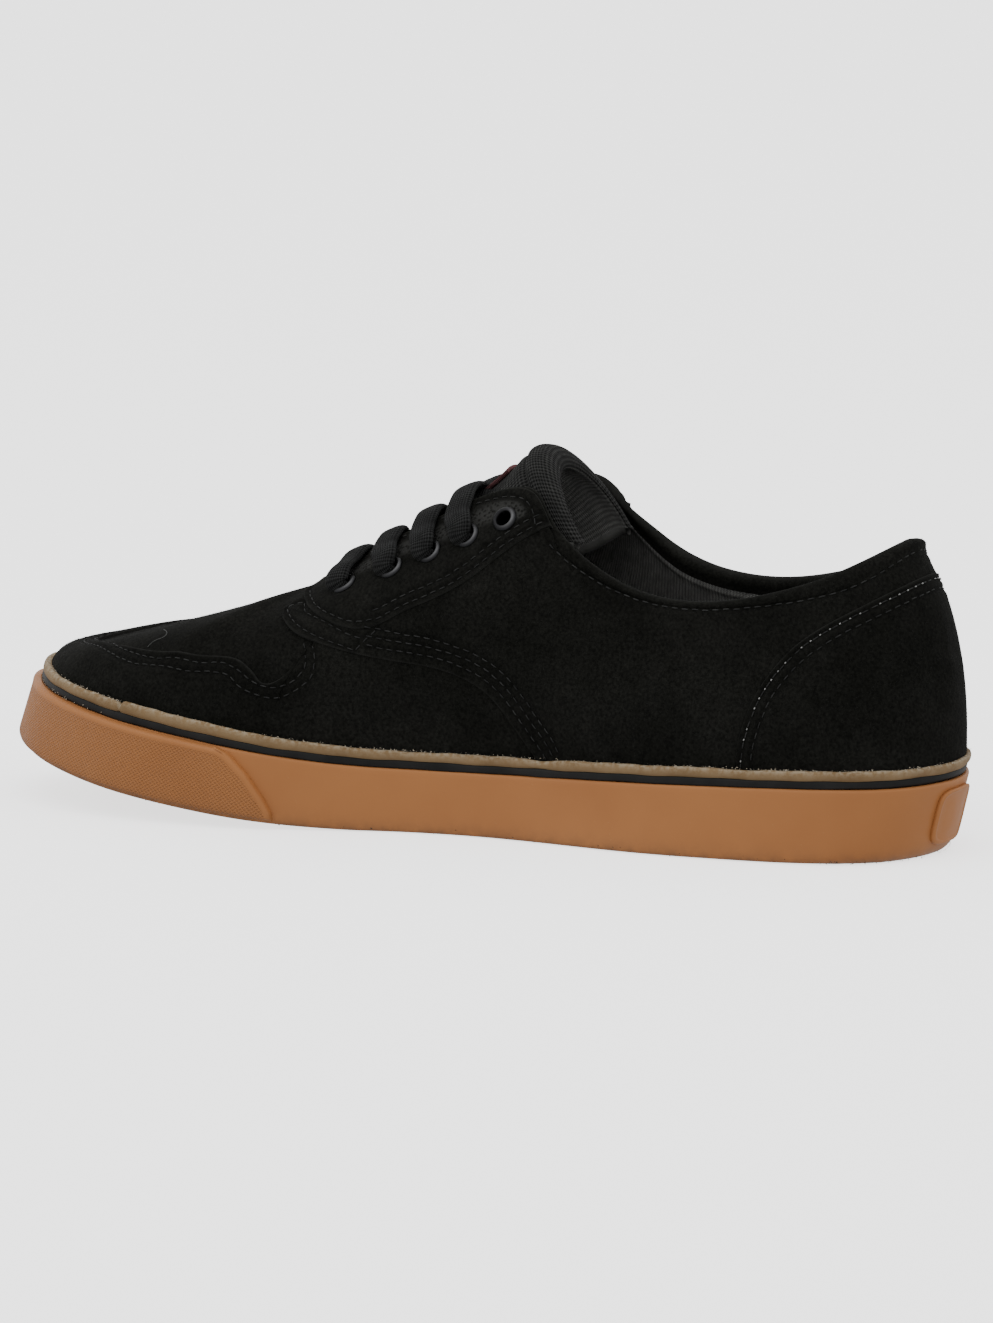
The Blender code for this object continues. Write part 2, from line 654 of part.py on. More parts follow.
def tongue_section(row, under):
    """Half ellipse across the tongue, a distance under its outer face."""
    along, height, half_width, depth, lean = row
    crown = Vector((along * SOLE_LENGTH - SOLE_LENGTH / 2, tongue_middle(along), height * INSTEP_HEIGHT))
    reach = half_width * COLLAR_WIDTH / 2
    drop = depth * COLLAR_WIDTH / 2
    down = Vector((-math.sin(math.radians(lean)), 0, -math.cos(math.radians(lean))))
    arc = []
    for turn in np.linspace(-math.pi / 2, math.pi / 2, TONGUE_POINTS):
        fall = drop - (drop - under) * math.cos(turn)
        arc.append(crown + down * fall + Vector((0, (reach - under) * math.sin(turn), 0)))
    return arc


def make_tongue(parts, finish):
    """Padded tongue, arched over the instep from under the vamp to above the collar."""
    outer = [tongue_section(row, 0.0) for row in TONGUE]
    inner = [tongue_section(row, TONGUE_THICKNESS) for row in TONGUE]
    return slab_solid("tongue", outer, inner, parts, finish)


# Eyelets and laces
def eyelet_frame(side, number):
    """Place and turn of an eyelet, its axis along the panel's normal."""
    rib, climb = EYELETS[number]
    seat = lifted(side, np.array(rib), np.array(climb), PANEL_LIFT + PANEL_THICKNESS)
    normal = Vector(upper_normal(side, np.array(rib), np.array(climb)))
    turn = normal.to_track_quat("Z", "Y").to_matrix().to_4x4()
    return Matrix.Translation(Vector(seat)) @ turn


def make_eyelets(parts, cutters, finish, pierced):
    """Turned metal rings, each in a hole through the facing and the upper."""
    depth = PANEL_LIFT + PANEL_THICKNESS + UPPER_WALL
    profile = ((EYELET_HOLE / 2, EYELET_LIP), (EYELET_DIAMETER / 2, GAP), (EYELET_HOLE / 2 + EYELET_WALL, GAP),
               (EYELET_HOLE / 2 + EYELET_WALL, -depth), (EYELET_HOLE / 2, -depth))
    sides = 8
    for side, place in ((MEDIAL, "medial"), (LATERAL, "lateral")):
        for number in range(len(EYELETS)):
            frame = eyelet_frame(side, number)
            builder = bmesh.new()
            rows = []
            for step in range(sides):
                angle = 2 * math.pi * step / sides
                ray = Vector((math.cos(angle), math.sin(angle), 0))
                rows.append([builder.verts.new(ray * r + Vector((0, 0, z))) for r, z in profile])
            bridge_rows(builder, rows, close_rows=True, close_ring=True)
            ring = add_object(f"eyelet_{place}_{number + 1}", builder, parts, finish)
            ring.matrix_world = frame
            bpy.ops.mesh.primitive_cylinder_add(
                vertices=sides, radius=EYELET_HOLE / 2 + EYELET_WALL + GAP * 1.2, depth=2 * EYELET_DIAMETER)
            hole = bpy.context.object
            hole.name = f"hole_{place}_{number + 1}"
            for owner in list(hole.users_collection):
                owner.objects.unlink(hole)
            cutters.objects.link(hole)
            hole.matrix_world = frame
            cut(pierced[side], hole)
            cut(pierced["upper"], hole)


def crown_point(x, lift):
    """Point above the tongue's crown at a place along it."""
    along, height, _, _, lean = tongue_at((x + SOLE_LENGTH / 2) / SOLE_LENGTH)
    out = Vector((math.sin(math.radians(lean)), 0, math.cos(math.radians(lean))))
    return Vector((x, tongue_middle(along), height * INSTEP_HEIGHT)) + out * lift


def tongue_at(along):
    """Row of the tongue's table at a place along the sole."""
    rows = np.array(TONGUE)[::-1]
    return [np.interp(along, rows[:, 0], rows[:, column]) for column in range(rows.shape[1])]


def lace_path(side, start, finish_at):
    """Middle line of a lace from above an eyelet over the tongue, towards another."""
    clear = EYELET_LIP + 2 * GAP + LACE_THICKNESS / 2
    begin = eyelet_frame(side, start) @ Vector((0, 0, clear))
    end = eyelet_frame(-side, finish_at) @ Vector((0, 0, clear))
    rib_start, rib_end = EYELETS[start][0], EYELETS[finish_at][0]
    forward = BAR_LEAN if start == finish_at else 0
    rib_near = rib_start + (rib_end - rib_start) * LACE_LEAN + forward
    rib_far = rib_end + (rib_start - rib_end) * LACE_LEAN + forward
    lift = PANEL_LIFT + PANEL_THICKNESS + 3 * GAP + LACE_THICKNESS
    near = Vector(lifted(side, np.array(rib_near), np.array(0.96), lift))
    far = Vector(lifted(-side, np.array(rib_far), np.array(0.96), lift))
    middle_x = (near.x + far.x) / 2
    centre = crown_point(middle_x, 3 * GAP + LACE_THICKNESS)
    centre.z = max(centre.z, (near.z + far.z) / 2 + GAP)
    if start == finish_at:
        return [begin, begin.lerp(near, 0.5) + Vector((0, 0, GAP)), near, near.lerp(centre, 0.5)
                + Vector((0, 0, 2 * GAP)), centre, far.lerp(centre, 0.5) + Vector((0, 0, 2 * GAP)),
                far, end.lerp(far, 0.5) + Vector((0, 0, GAP)), end]
    last = centre.lerp(far, 0.42)
    return [begin, begin.lerp(near, 0.5) + Vector((0, 0, GAP)), near,
            near.lerp(centre, 0.5) + Vector((0, 0, 2 * GAP)), centre, centre.lerp(last, 0.5), last]


def lace_band(name, points, group, finish):
    """Flat band along a path."""
    outer, inner = [], []
    up = Vector((CREST_SLOPE * 1.6, 0, 1)).normalized()
    count = len(points)
    for i, point in enumerate(points):
        way = (points[min(i + 1, count - 1)] - points[max(i - 1, 0)]).normalized()
        across = Vector((1, 0, -CREST_SLOPE * 1.6)).normalized()
        across = (across - way * across.dot(way)).normalized()
        out = across.cross(way).normalized()
        if out.dot(up) < 0:
            out = -out
        outer.append([point + across * s * LACE_WIDTH / 2 + out * LACE_THICKNESS / 2 for s in (-1, 0, 1)])
        inner.append([point + across * s * LACE_WIDTH / 2 - out * LACE_THICKNESS / 2 for s in (-1, 0, 1)])
    return slab_solid(name, outer, inner, group, finish)


def make_laces(parts, cutters, finish):
    """One bar over the lowest eyelets, then crossings, each joined into one solid."""
    lace_band("lace_bar", lace_path(MEDIAL, 0, 0), parts, finish)
    for number in (1, 2, 3):
        band = lace_band(f"lace_crossing_{number}", lace_path(MEDIAL, number, number - 1), parts, finish)
        other = lace_band(f"lace_under_{number}", lace_path(LATERAL, number, number - 1), cutters, finish)
        cut(band, other, "UNION")


def main():
    clear_scene()
    parts = collection("skate_shoe")
    cutters = collection("skate_shoe_cutters", cutters=True)
    gum = material("gum_rubber", (0.35, 0.155, 0.06), 0.5)
    khaki = material("khaki_rubber", (0.31, 0.19, 0.085), 0.6)
    black_rubber = material("black_rubber", (0.026, 0.026, 0.026), 0.5)
    suede = material("black_suede", (0.008, 0.008, 0.007), 0.95)
    mesh = material("black_mesh", (0.02, 0.02, 0.019), 0.9)
    lace = material("lace_weave", (0.02, 0.021, 0.021), 0.9)
    metal = material("eyelet_metal", (0.10, 0.10, 0.11), 0.35, 1.0)
    foam = material("insole_cloth", (0.02, 0.02, 0.02), 0.9)

    make_outsole(parts, cutters, gum)
    make_foxing(parts, gum)
    strip_ring("pinstripe", STRIPE_HEIGHT + WELT_HEIGHT + GAP, STRIPE_HEIGHT, STRIPE_INSET, 0,
               parts, black_rubber)
    strip_ring("welt_strip", WELT_HEIGHT, WELT_HEIGHT, WELT_INSET + WELT_CROWN, WELT_CROWN, parts, khaki)
    make_bumper(parts, gum)
    make_badge(parts, gum)
    upper = make_upper(parts, suede)
    make_toe_panel(parts, suede)
    make_quarter("quarter_medial", MEDIAL, parts, suede)
    make_quarter("quarter_lateral", LATERAL, parts, suede)
    pierced = {MEDIAL: make_eyestay("eyestay_medial", MEDIAL, parts, suede),
               LATERAL: make_eyestay("eyestay_lateral", LATERAL, parts, suede), "upper": upper}
    make_counter(parts, suede)
    make_tongue(parts, mesh)
    inset = FOXING_WALL + GAP + UPPER_WALL + FOOTBED_EDGE
    low = OUTSOLE_THICKNESS + GAP
    make_slab("insole", inset, low, low + INSOLE_THICKNESS, parts, foam, rounding=EDGE_ROUNDING)
    make_eyelets(parts, cutters, metal, pierced)
    make_laces(parts, cutters, lace)


main()
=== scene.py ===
"""Looks of the skateboarding shoe, in metres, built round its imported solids.

+X runs to the toe, +Y to the inner side and +Z up. A place along the sole's edge is u, a
share of the way round from the middle of the heel. A place on the upper is its station and
its climb: the station runs from the heel, 0, along the inner side to the toe, 1, and back
along the outer side to the heel, 2. The climb runs from the sidewall's top, 0, to the top
line, 1. A lift is a height above the shell's outer face.
"""
import math

import bmesh
import bpy
import numpy as np
from mathutils import Matrix, Vector, kdtree
from mathutils.bvhtree import BVHTree


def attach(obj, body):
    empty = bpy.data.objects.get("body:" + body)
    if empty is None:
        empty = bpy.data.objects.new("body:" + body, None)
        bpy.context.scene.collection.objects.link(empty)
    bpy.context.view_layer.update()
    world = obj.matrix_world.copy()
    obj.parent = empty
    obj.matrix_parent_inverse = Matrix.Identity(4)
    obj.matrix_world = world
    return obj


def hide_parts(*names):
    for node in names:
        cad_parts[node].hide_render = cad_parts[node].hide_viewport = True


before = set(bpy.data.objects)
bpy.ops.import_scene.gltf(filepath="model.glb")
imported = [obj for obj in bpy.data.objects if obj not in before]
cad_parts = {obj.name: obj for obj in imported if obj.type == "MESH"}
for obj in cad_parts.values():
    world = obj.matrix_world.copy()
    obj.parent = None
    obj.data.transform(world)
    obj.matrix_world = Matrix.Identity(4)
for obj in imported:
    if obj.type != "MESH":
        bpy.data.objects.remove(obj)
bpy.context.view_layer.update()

MM = 0.001

# Driving sizes. The strips are a little lower and the laces a little fuller than in the
# part's source, as the photo shows them.
SOLE_LENGTH = 300 * MM
BALL_WIDTH = 106 * MM
HEEL_WIDTH = 76 * MM
COLLAR_WIDTH = 60 * MM
INSTEP_HEIGHT = 100 * MM
TOE_SPRING = 17.5 * MM
UPPER_WALL = 2.2 * MM
COLLAR_PADDING = 2.4 * MM
OUTSOLE_THICKNESS = 10.5 * MM
INSOLE_THICKNESS = 4.5 * MM
FOXING_HEIGHT = 26.7 * MM
FOXING_WALL = 3.0 * MM
WALL_LEAN = 0.24
TOE_LEAN = 0.10
STRIPE_HEIGHT = 2.4 * MM
WELT_HEIGHT = 2.35 * MM
BUMPER_THICKNESS = 1.8 * MM
BADGE_WIDTH = 21 * MM
BADGE_HEIGHT = 16 * MM
BADGE_RISE = 3.5 * MM
TONGUE_THICKNESS = 4.6 * MM
LACE_WIDTH = 8.3 * MM
LACE_THICKNESS = 2.8 * MM
EYELET_DIAMETER = 7.8 * MM
EYELET_HOLE = 4.4 * MM
GAP = 0.3 * MM
SPRING_START = 0.56
SPRING_CURVE = 1.6
CREST_SIDE = 2.5 * MM
CREST_SLOPE = 0.27
HEEL_ROUND_SHARE = 0.14

# Sizes of what the scene adds
SEWN_DIP = 0.42 * MM
STITCH_PITCH = 3.05 * MM
STITCH_LENGTH = 1.85 * MM
THREAD = 0.20 * MM
# size of the painted highlight beads on the counter's stitches
PAINTED_GLINT = 0.20 * MM
PIERCED = 3.0 * MM
EYELET_DEPTH = 4.6 * MM
SEAT_REACH = 7 * MM
STRIP_RISE = 0.40 * MM
TIP_DROP = 2.0 * MM
HEEL_INSET = 0.9 * MM
LOOSE_THREAD = 0.09 * MM
TONGUE_TURN = 1.62
HAIRS = 19000
GLUE_FLECKS = 1300
DIRT_FLECKS = 520
STRIPE_SPECKS = 36

# Edge of the sole where it meets the floor: shares of its length and of half its local width
OUTLINE = (
    # along, side
    (0.000, 0.00), (0.008, 0.33), (0.035, 0.67), (0.090, 0.885), (0.170, 0.985), (0.260, 0.985),
    (0.350, 0.865), (0.430, 0.765), (0.510, 0.755), (0.590, 0.835), (0.670, 0.935), (0.750, 0.965),
    (0.820, 0.945), (0.885, 0.840), (0.940, 0.655), (0.980, 0.370), (1.000, 0.030), (0.985, -0.320),
    (0.945, -0.610), (0.885, -0.830), (0.820, -0.955), (0.740, -1.020), (0.660, -1.020),
    (0.580, -0.960), (0.500, -0.895), (0.420, -0.870), (0.330, -0.930), (0.250, -1.000),
    (0.170, -1.020), (0.100, -0.955), (0.040, -0.740), (0.010, -0.380),
)

# Height of the rubber sidewall: share of the length, share of its height at the heel
SIDEWALL = (
    # along, height
    (0.00, 1.000), (0.25, 0.948), (0.50, 0.880), (0.70, 0.944), (0.85, 0.944), (1.00, 0.880),
)

# Ribs of the upper, as in the part's source
RIBS = (
    # rib, along, side, height, foot rise, top rise, foot pull, top pull
    (0.000, 0.062, 0.000, 0.882, 91, 58, 0.36, 0.33),
    (0.072, 0.074, 0.410, 0.856, 92, 62, 0.36, 0.33),
    (0.115, 0.101, 0.680, 0.812, 93, 69, 0.35, 0.33),
    (0.165, 0.140, 0.860, 0.766, 95, 74, 0.34, 0.33),
    (0.212, 0.183, 0.950, 0.732, 96, 77, 0.33, 0.33),
    (0.265, 0.233, 0.995, 0.713, 96, 78, 0.32, 0.33),
    (0.315, 0.280, 0.990, 0.724, 96, 77, 0.32, 0.33),
    (0.362, 0.320, 0.960, 0.762, 96, 74, 0.33, 0.33),
    (0.400, 0.353, 0.920, 0.818, 95, 69, 0.33, 0.33),
    (0.436, 0.382, 0.860, 0.890, 94, 62, 0.34, 0.33),
    (0.460, 0.395, 0.800, 0.938, 93, 56, 0.34, 0.33),
    (0.483, 0.407, 0.720, 0.980, 92, 50, 0.34, 0.33),
    (0.510, 0.427, 0.640, 0.998, 92, 45, 0.35, 0.34),
    (0.540, 0.460, 0.570, 0.975, 91, 42, 0.35, 0.35),
    (0.580, 0.507, 0.500, 0.910, 90, 39, 0.35, 0.35),
    (0.630, 0.560, 0.420, 0.830, 89, 34, 0.35, 0.36),
    (0.677, 0.613, 0.330, 0.745, 87, 26, 0.35, 0.38),
    (0.709, 0.647, 0.250, 0.690, 85, 17, 0.35, 0.40),
    (0.733, 0.666, 0.130, 0.663, 83, 7, 0.35, 0.41),
    (0.750, 0.672, 0.000, 0.656, 81, 0, 0.35, 0.41),
    (0.777, 0.700, 0.000, 0.625, 79, 0, 0.34, 0.40),
    (0.810, 0.740, 0.000, 0.585, 76, 0, 0.33, 0.40),
    (0.845, 0.783, 0.000, 0.543, 72, 0, 0.32, 0.40),
    (0.880, 0.827, 0.000, 0.504, 67, 0, 0.31, 0.40),
    (0.920, 0.862, 0.000, 0.474, 59, 0, 0.30, 0.40),
    (1.000, 0.889, 0.000, 0.450, 47, 0, 0.30, 0.40),
)
THROAT_FRONT = 0.750
COLLAR_FRONT = 0.436

# Eyelets, front to back: rib and climb
EYELETS = (
    # rib, climb
    (0.656, 0.735), (0.616, 0.755), (0.581, 0.780), (0.547, 0.800), (0.515, 0.845),
)

# Edges of the panels and rows of stitches, all as stations of the inner side and climbs
EYESTAY_EDGE = (
    (0.441, 0.985), (0.455, 0.930), (0.472, 0.850), (0.490, 0.765), (0.508, 0.675), (0.520, 0.615),
    (0.532, 0.575), (0.550, 0.540), (0.568, 0.510), (0.582, 0.475), (0.600, 0.460), (0.622, 0.482),
    (0.645, 0.535), (0.668, 0.610), (0.690, 0.710), (0.707, 0.800),
)
QUARTER_EDGE = (
    (0.400, -0.030), (0.405, 0.020), (0.416, 0.090), (0.427, 0.150), (0.440, 0.207), (0.455, 0.250),
    (0.472, 0.273), (0.504, 0.290), (0.542, 0.312), (0.578, 0.343), (0.611, 0.380), (0.634, 0.415),
    (0.657, 0.465), (0.677, 0.530), (0.692, 0.595), (0.707, 0.690),
)
TOE_PANEL_EDGE = (
    (0.635, 0.440), (0.636, 0.330), (0.641, 0.250), (0.648, 0.222), (0.657, 0.222), (0.667, 0.255),
    (0.679, 0.295), (0.694, 0.330), (0.710, 0.335), (0.735, 0.305), (0.759, 0.280), (0.782, 0.285),
    (0.804, 0.300), (0.835, 0.335), (0.860, 0.375), (0.890, 0.450), (0.930, 0.545), (1.000, 0.620),
)
COUNTER_EDGE = (
    (0.000, 0.815), (0.036, 0.812), (0.072, 0.797), (0.104, 0.772), (0.125, 0.750), (0.142, 0.722),
    (0.160, 0.676), (0.177, 0.602), (0.191, 0.512), (0.203, 0.400), (0.210, 0.295), (0.216, 0.175),
    (0.220, -0.030),
)
TIP_ROW = (
    (0.590, 0.366), (0.616, 0.405), (0.647, 0.465), (0.672, 0.540), (0.692, 0.625), (0.698, 0.675),
    (0.692, 0.690), (0.678, 0.635), (0.652, 0.545), (0.624, 0.475), (0.602, 0.432), (0.588, 0.415),
)
TOE_NEAR_ROW = (
    (0.647, 0.430), (0.640, 0.390), (0.630, 0.330), (0.626, 0.270), (0.631, 0.230), (0.641, 0.205),
    (0.654, 0.205), (0.665, 0.220), (0.680, 0.260), (0.694, 0.290), (0.705, 0.300), (0.720, 0.285),
    (0.744, 0.260), (0.764, 0.240), (0.795, 0.260), (0.824, 0.300), (0.852, 0.365), (0.884, 0.440),
    (0.925, 0.520), (1.000, 0.575),
)
TOE_FAR_ROW = (
    (0.639, 0.420), (0.629, 0.375), (0.619, 0.305), (0.616, 0.245), (0.623, 0.200), (0.634, 0.165),
    (0.647, 0.160), (0.664, 0.175), (0.677, 0.200), (0.690, 0.240), (0.703, 0.250), (0.736, 0.215),
    (0.769, 0.200), (0.795, 0.205), (0.826, 0.245), (0.866, 0.325), (0.905, 0.385), (0.941, 0.420),
    (1.000, 0.450),
)
CROSS_ROW = ((0.590, 0.362), (0.588, 0.395), (0.585, 0.435), (0.583, 0.468))
STAY_TOP_ROW = (
    (0.700, 0.930), (0.680, 0.945), (0.640, 0.950), (0.600, 0.952), (0.560, 0.952), (0.535, 0.945),
    (0.512, 0.938), (0.496, 0.930), (0.484, 0.915), (0.474, 0.893), (0.466, 0.868),
)
WORN_LINE = (
    (0.668, 0.830), (0.620, 0.860), (0.580, 0.865), (0.547, 0.870), (0.525, 0.885), (0.507, 0.875),
    (0.497, 0.840),
)
COLLAR_ROW = (
    (0.443, 0.905), (0.400, 0.925), (0.350, 0.940), (0.300, 0.945), (0.242, 0.940), (0.185, 0.918),
    (0.138, 0.895), (0.100, 0.888), (0.060, 0.915), (0.000, 0.930),
)

# Crown of the tongue's outer face, front to back: shares of the sole's length, of the
# instep's height and, for half width and depth, of half the collar's width; lean in degrees
TONGUE = (
    # along, height, half width, depth, lean
    (0.700, 0.552, 0.56, 0.24, 20), (0.668, 0.594, 0.62, 0.30, 24), (0.640, 0.648, 0.66, 0.36, 26),
    (0.600, 0.724, 0.68, 0.44, 28), (0.560, 0.808, 0.69, 0.54, 30), (0.520, 0.886, 0.70, 0.66, 32),
    (0.488, 0.964, 0.70, 0.80, 34), (0.462, 1.036, 0.70, 0.92, 36), (0.446, 1.086, 0.69, 0.98, 36),
    (0.430, 1.098, 0.67, 0.97, 33),
)


def spline(knots, rows):
    """Natural cubic through the rows, as a function of the knots."""
    knots = np.array(knots, float)
    rows = np.array(rows, float)
    count = len(knots)
    step = np.diff(knots)
    matrix = np.zeros((count, count))
    right = np.zeros((count,) + rows.shape[1:])
    matrix[0, 0] = 1
    matrix[-1, -1] = 1
    for i in range(1, count - 1):
        matrix[i, i - 1:i + 2] = (step[i - 1], 2 * (step[i - 1] + step[i]), step[i])
        right[i] = 6 * ((rows[i + 1] - rows[i]) / step[i] - (rows[i] - rows[i - 1]) / step[i - 1])
    bend = np.linalg.solve(matrix, right)

    def value(at):
        at = np.asarray(at, float)
        i = np.clip(np.searchsorted(knots, at) - 1, 0, count - 2)
        width = step[i]
        low = knots[i + 1] - at
        high = at - knots[i]
        if rows.ndim > 1:
            low, high, width = low[..., None], high[..., None], width[..., None]
        cubic = (bend[i] * low ** 3 + bend[i + 1] * high ** 3) / (6 * width)
        return (cubic + (rows[i] / width - bend[i] * width / 6) * low
                + (rows[i + 1] / width - bend[i + 1] * width / 6) * high)
    return value


def smooth(share):
    """Ease from 0 to 1."""
    share = np.clip(share, 0, 1)
    return share * share * (3 - 2 * share)


def unit(vectors):
    return vectors / np.maximum(np.linalg.norm(vectors, axis=-1, keepdims=True), 1e-12)


# Sole edge and sidewall
HEEL_X = -SOLE_LENGTH / 2 + WALL_LEAN * FOXING_HEIGHT
TOE_X = SOLE_LENGTH / 2 - BUMPER_THICKNESS - GAP
FLOOR_LENGTH = TOE_X - HEEL_X


def edge_curve(samples=2880):
    """The sole's edge on the floor: points, share of the way round, and the toe's share."""
    rows = []
    for along, side in OUTLINE:
        widen = smooth((along - 0.15) / 0.55)
        half_width = (HEEL_WIDTH + (BALL_WIDTH - HEEL_WIDTH) * widen) / 2
        rows.append((HEEL_X + along * FLOOR_LENGTH, side * half_width))
    rows = np.array(rows)
    wrap = 4
    looped = np.vstack([rows[-wrap:], rows, rows[:wrap + 1]])
    knots = np.r_[0, np.cumsum(np.hypot(*np.diff(looped, axis=0).T))]
    points = spline(knots, looped)(np.linspace(knots[wrap], knots[wrap + len(rows)], samples + 1))
    points[:, 1] -= (points[:, 1].max() + points[:, 1].min()) / 2
    lengths = np.r_[0, np.cumsum(np.hypot(*np.diff(points, axis=0).T))]
    shares = lengths / lengths[-1]
    return points, shares, shares[points[:, 0].argmax()], lengths[-1]


EDGE_POINTS, EDGE_SHARES, TOE_SHARE, EDGE_LENGTH = edge_curve()
sidewall_share = spline(*np.array(SIDEWALL).T)


def edge(u):
    """Point of the sole's edge on the floor, in plan."""
    u = np.asarray(u, float) % 1.0
    return np.stack([np.interp(u, EDGE_SHARES, EDGE_POINTS[:, 0]),
                     np.interp(u, EDGE_SHARES, EDGE_POINTS[:, 1])], -1)


def inward(u, reach=0.004):
    """Unit vector in plan from the sole's edge towards its middle."""
    along = unit(edge(np.asarray(u) + reach) - edge(np.asarray(u) - reach))
    return np.stack([along[..., 1], -along[..., 0]], -1)


def along_sole(x):
    return np.clip((np.asarray(x) - HEEL_X) / FLOOR_LENGTH, 0, 1)


def toe_spring(x):
    """Height of the sole's underside above the floor."""
    rise = np.clip((along_sole(x) - SPRING_START) / (1 - SPRING_START), 0, 1)
    return TOE_SPRING * rise ** SPRING_CURVE


def sidewall_height(u):
    return FOXING_HEIGHT * sidewall_share(along_sole(edge(u)[..., 0]))


def wall_point(u, height, inset):
    """Point of the sidewall at a height above its foot, an inset in from its face."""
    plan = edge(u) + inward(u) * np.asarray(inset)[..., None]
    height = np.asarray(height) + 0 * plan[..., 0]
    floor = toe_spring(plan[..., 0])
    lean = WALL_LEAN + TOE_LEAN * smooth((along_sole(plan[..., 0]) - 0.75) / 0.25)
    return np.stack([plan[..., 0] - lean * height, plan[..., 1], floor + height], -1)


# Upper's surface
rib_columns = spline([row[0] for row in RIBS], [row[1:] for row in RIBS])


def side_point(side, rib, climb):
    """Point of the shell's outer face on one side, on the cubic from the sidewall to the top."""
    row = rib_columns(rib)
    u = rib * TOE_SHARE if side > 0 else 1 - rib * (1 - TOE_SHARE)
    foot = wall_point(u, sidewall_height(u), FOXING_WALL + GAP + 0 * u)
    middle = CREST_SIDE * smooth((rib - 0.45) / 0.25)
    reach = np.where(rib >= THROAT_FRONT, 0, np.maximum(row[..., 1], 0)) * COLLAR_WIDTH / 2
    top = np.stack([row[..., 0] * SOLE_LENGTH - SOLE_LENGTH / 2, middle + side * reach,
                    row[..., 2] * INSTEP_HEIGHT], -1)
    chord = np.linalg.norm(top - foot, axis=-1)
    plan = inward(u)
    foot_rise = np.radians(row[..., 3])
    top_rise = np.radians(row[..., 4])
    slope = CREST_SLOPE * smooth((rib - COLLAR_FRONT) / (THROAT_FRONT - COLLAR_FRONT))
    foot_way = np.concatenate([plan * np.cos(foot_rise)[..., None], np.sin(foot_rise)[..., None]], -1)
    flat = np.cos(top_rise)[..., None] * plan
    top_way = np.concatenate([flat, (np.sin(top_rise) - slope * flat[..., 0])[..., None]], -1)
    first = foot + foot_way * (row[..., 5] * chord)[..., None]
    second = top - top_way * (row[..., 6] * chord)[..., None]
    t = climb[..., None]
    rest = 1 - t
    return rest ** 3 * foot + 3 * rest ** 2 * t * first + 3 * rest * t ** 2 * second + t ** 3 * top


def shell_point(station, climb):
    """Point of the shell's outer face."""
    station, climb = np.broadcast_arrays(np.asarray(station, float) % 2, np.asarray(climb, float))
    medial = side_point(1, np.clip(station, 0, 1), climb)
    lateral = side_point(-1, np.clip(2 - station, 0, 1), climb)
    return np.where((station <= 1)[..., None], medial, lateral)


def shell_frame(station, climb, reach=0.003):
    """Steps of the surface per unit of station and of climb, and the unit vector out of it."""
    station, climb = np.broadcast_arrays(np.asarray(station, float), np.asarray(climb, float))
    low = np.clip(climb - 0.01, -0.3, 1)
    high = np.clip(climb + 0.01, -0.3, 1)
    along = (shell_point(station + reach, climb) - shell_point(station - reach, climb)) / (2 * reach)
    rising = (shell_point(station, high) - shell_point(station, low)) / (high - low)[..., None]
    return along, rising, unit(np.cross(rising, along))


def crease(points, way):
    """Lift of the soft dents and rolls that wear has left, at points of the surface."""
    lift = np.zeros(points.shape[:-1])
    for (x, y, z), (dx, dy, dz), length, width, depth in way:
        offset = points - np.array((x, y, z)) * MM
        axis = unit(np.array((dx, dy, dz), float))
        along = offset @ axis
        across = np.linalg.norm(offset - along[..., None] * axis, axis=-1)
        lift += depth * MM * np.exp(-(along / (length * MM)) ** 2 - (across / (width * MM)) ** 2)
    return lift


# Soft creases: middle, direction, half length, half width and depth, all in millimetres
CREASES = (
    # across the toe box, where the foot bends
    ((62, 30, 50), (0.3, 0.8, -0.5), 26, 4.5, -0.55), ((52, 34, 48), (0.3, 0.8, -0.5), 24, 4.0, 0.45),
    ((62, -28, 52), (0.3, -0.8, -0.5), 24, 4.5, -0.5), ((70, 0, 62), (0.0, 1.0, 0.0), 30, 5.0, -0.45),
    ((42, 42, 36), (0.1, 0.1, 1.0), 12, 3.4, 0.45), ((48, 42, 36), (0.1, 0.1, 1.0), 11, 2.8, -0.35),
    # down the quarter, below the collar and beside the eyelets
    ((-30, 34, 62), (0.7, 0.0, -0.6), 24, 6.0, -0.6), ((-52, 32, 60), (0.9, 0.0, -0.3), 26, 6.5, 0.6),
    ((-10, 36, 52), (0.3, 0.0, 1.0), 16, 5.0, 0.4), ((-82, 34, 56), (1.0, 0.0, 0.1), 22, 6.0, -0.4),
    ((-30, -36, 60), (0.7, 0.0, -0.6), 24, 6.0, -0.6), ((-56, -36, 58), (0.9, 0.0, -0.3), 26, 6.5, 0.5),
    # round the heel
    ((-140, 12, 60), (0.1, 0.0, 1.0), 24, 3.2, -0.45), ((-143, 3, 52), (0.0, 0.0, 1.0), 24, 2.4, 0.4),
    ((-134, 22, 52), (0.1, 0.1, 1.0), 20, 4.0, 0.35), ((-138, -16, 56), (0.1, 0.0, 1.0), 22, 3.5, -0.4),
    ((-135, 12, 84), (0.2, 1.0, -0.4), 12, 2.4, -0.5), ((-145, 2, 58), (0.0, 1.0, 0.1), 18, 1.8, -0.8),
    ((-146, 2, 53), (0.0, 1.0, 0.1), 18, 2.4, 0.5),
)


def surface(station, climb, lift):
    """Point at a lift above the shell, with the creases that all its layers share."""
    points = shell_point(station, climb)
    out = shell_frame(station, climb)[2]
    return points + out * (np.asarray(lift) + crease(points, CREASES))[..., None]


# Lines on the upper
def through(table, count=240):
    """Smooth line through rows of station and climb, evenly stepped."""
    table = np.array(table, float)
    scaled = table * (SOLE_LENGTH, 0.07)
    knots = np.r_[0, np.cumsum(np.linalg.norm(np.diff(scaled, axis=0), axis=1))]
    return spline(knots, table)(np.linspace(0, knots[-1], count))


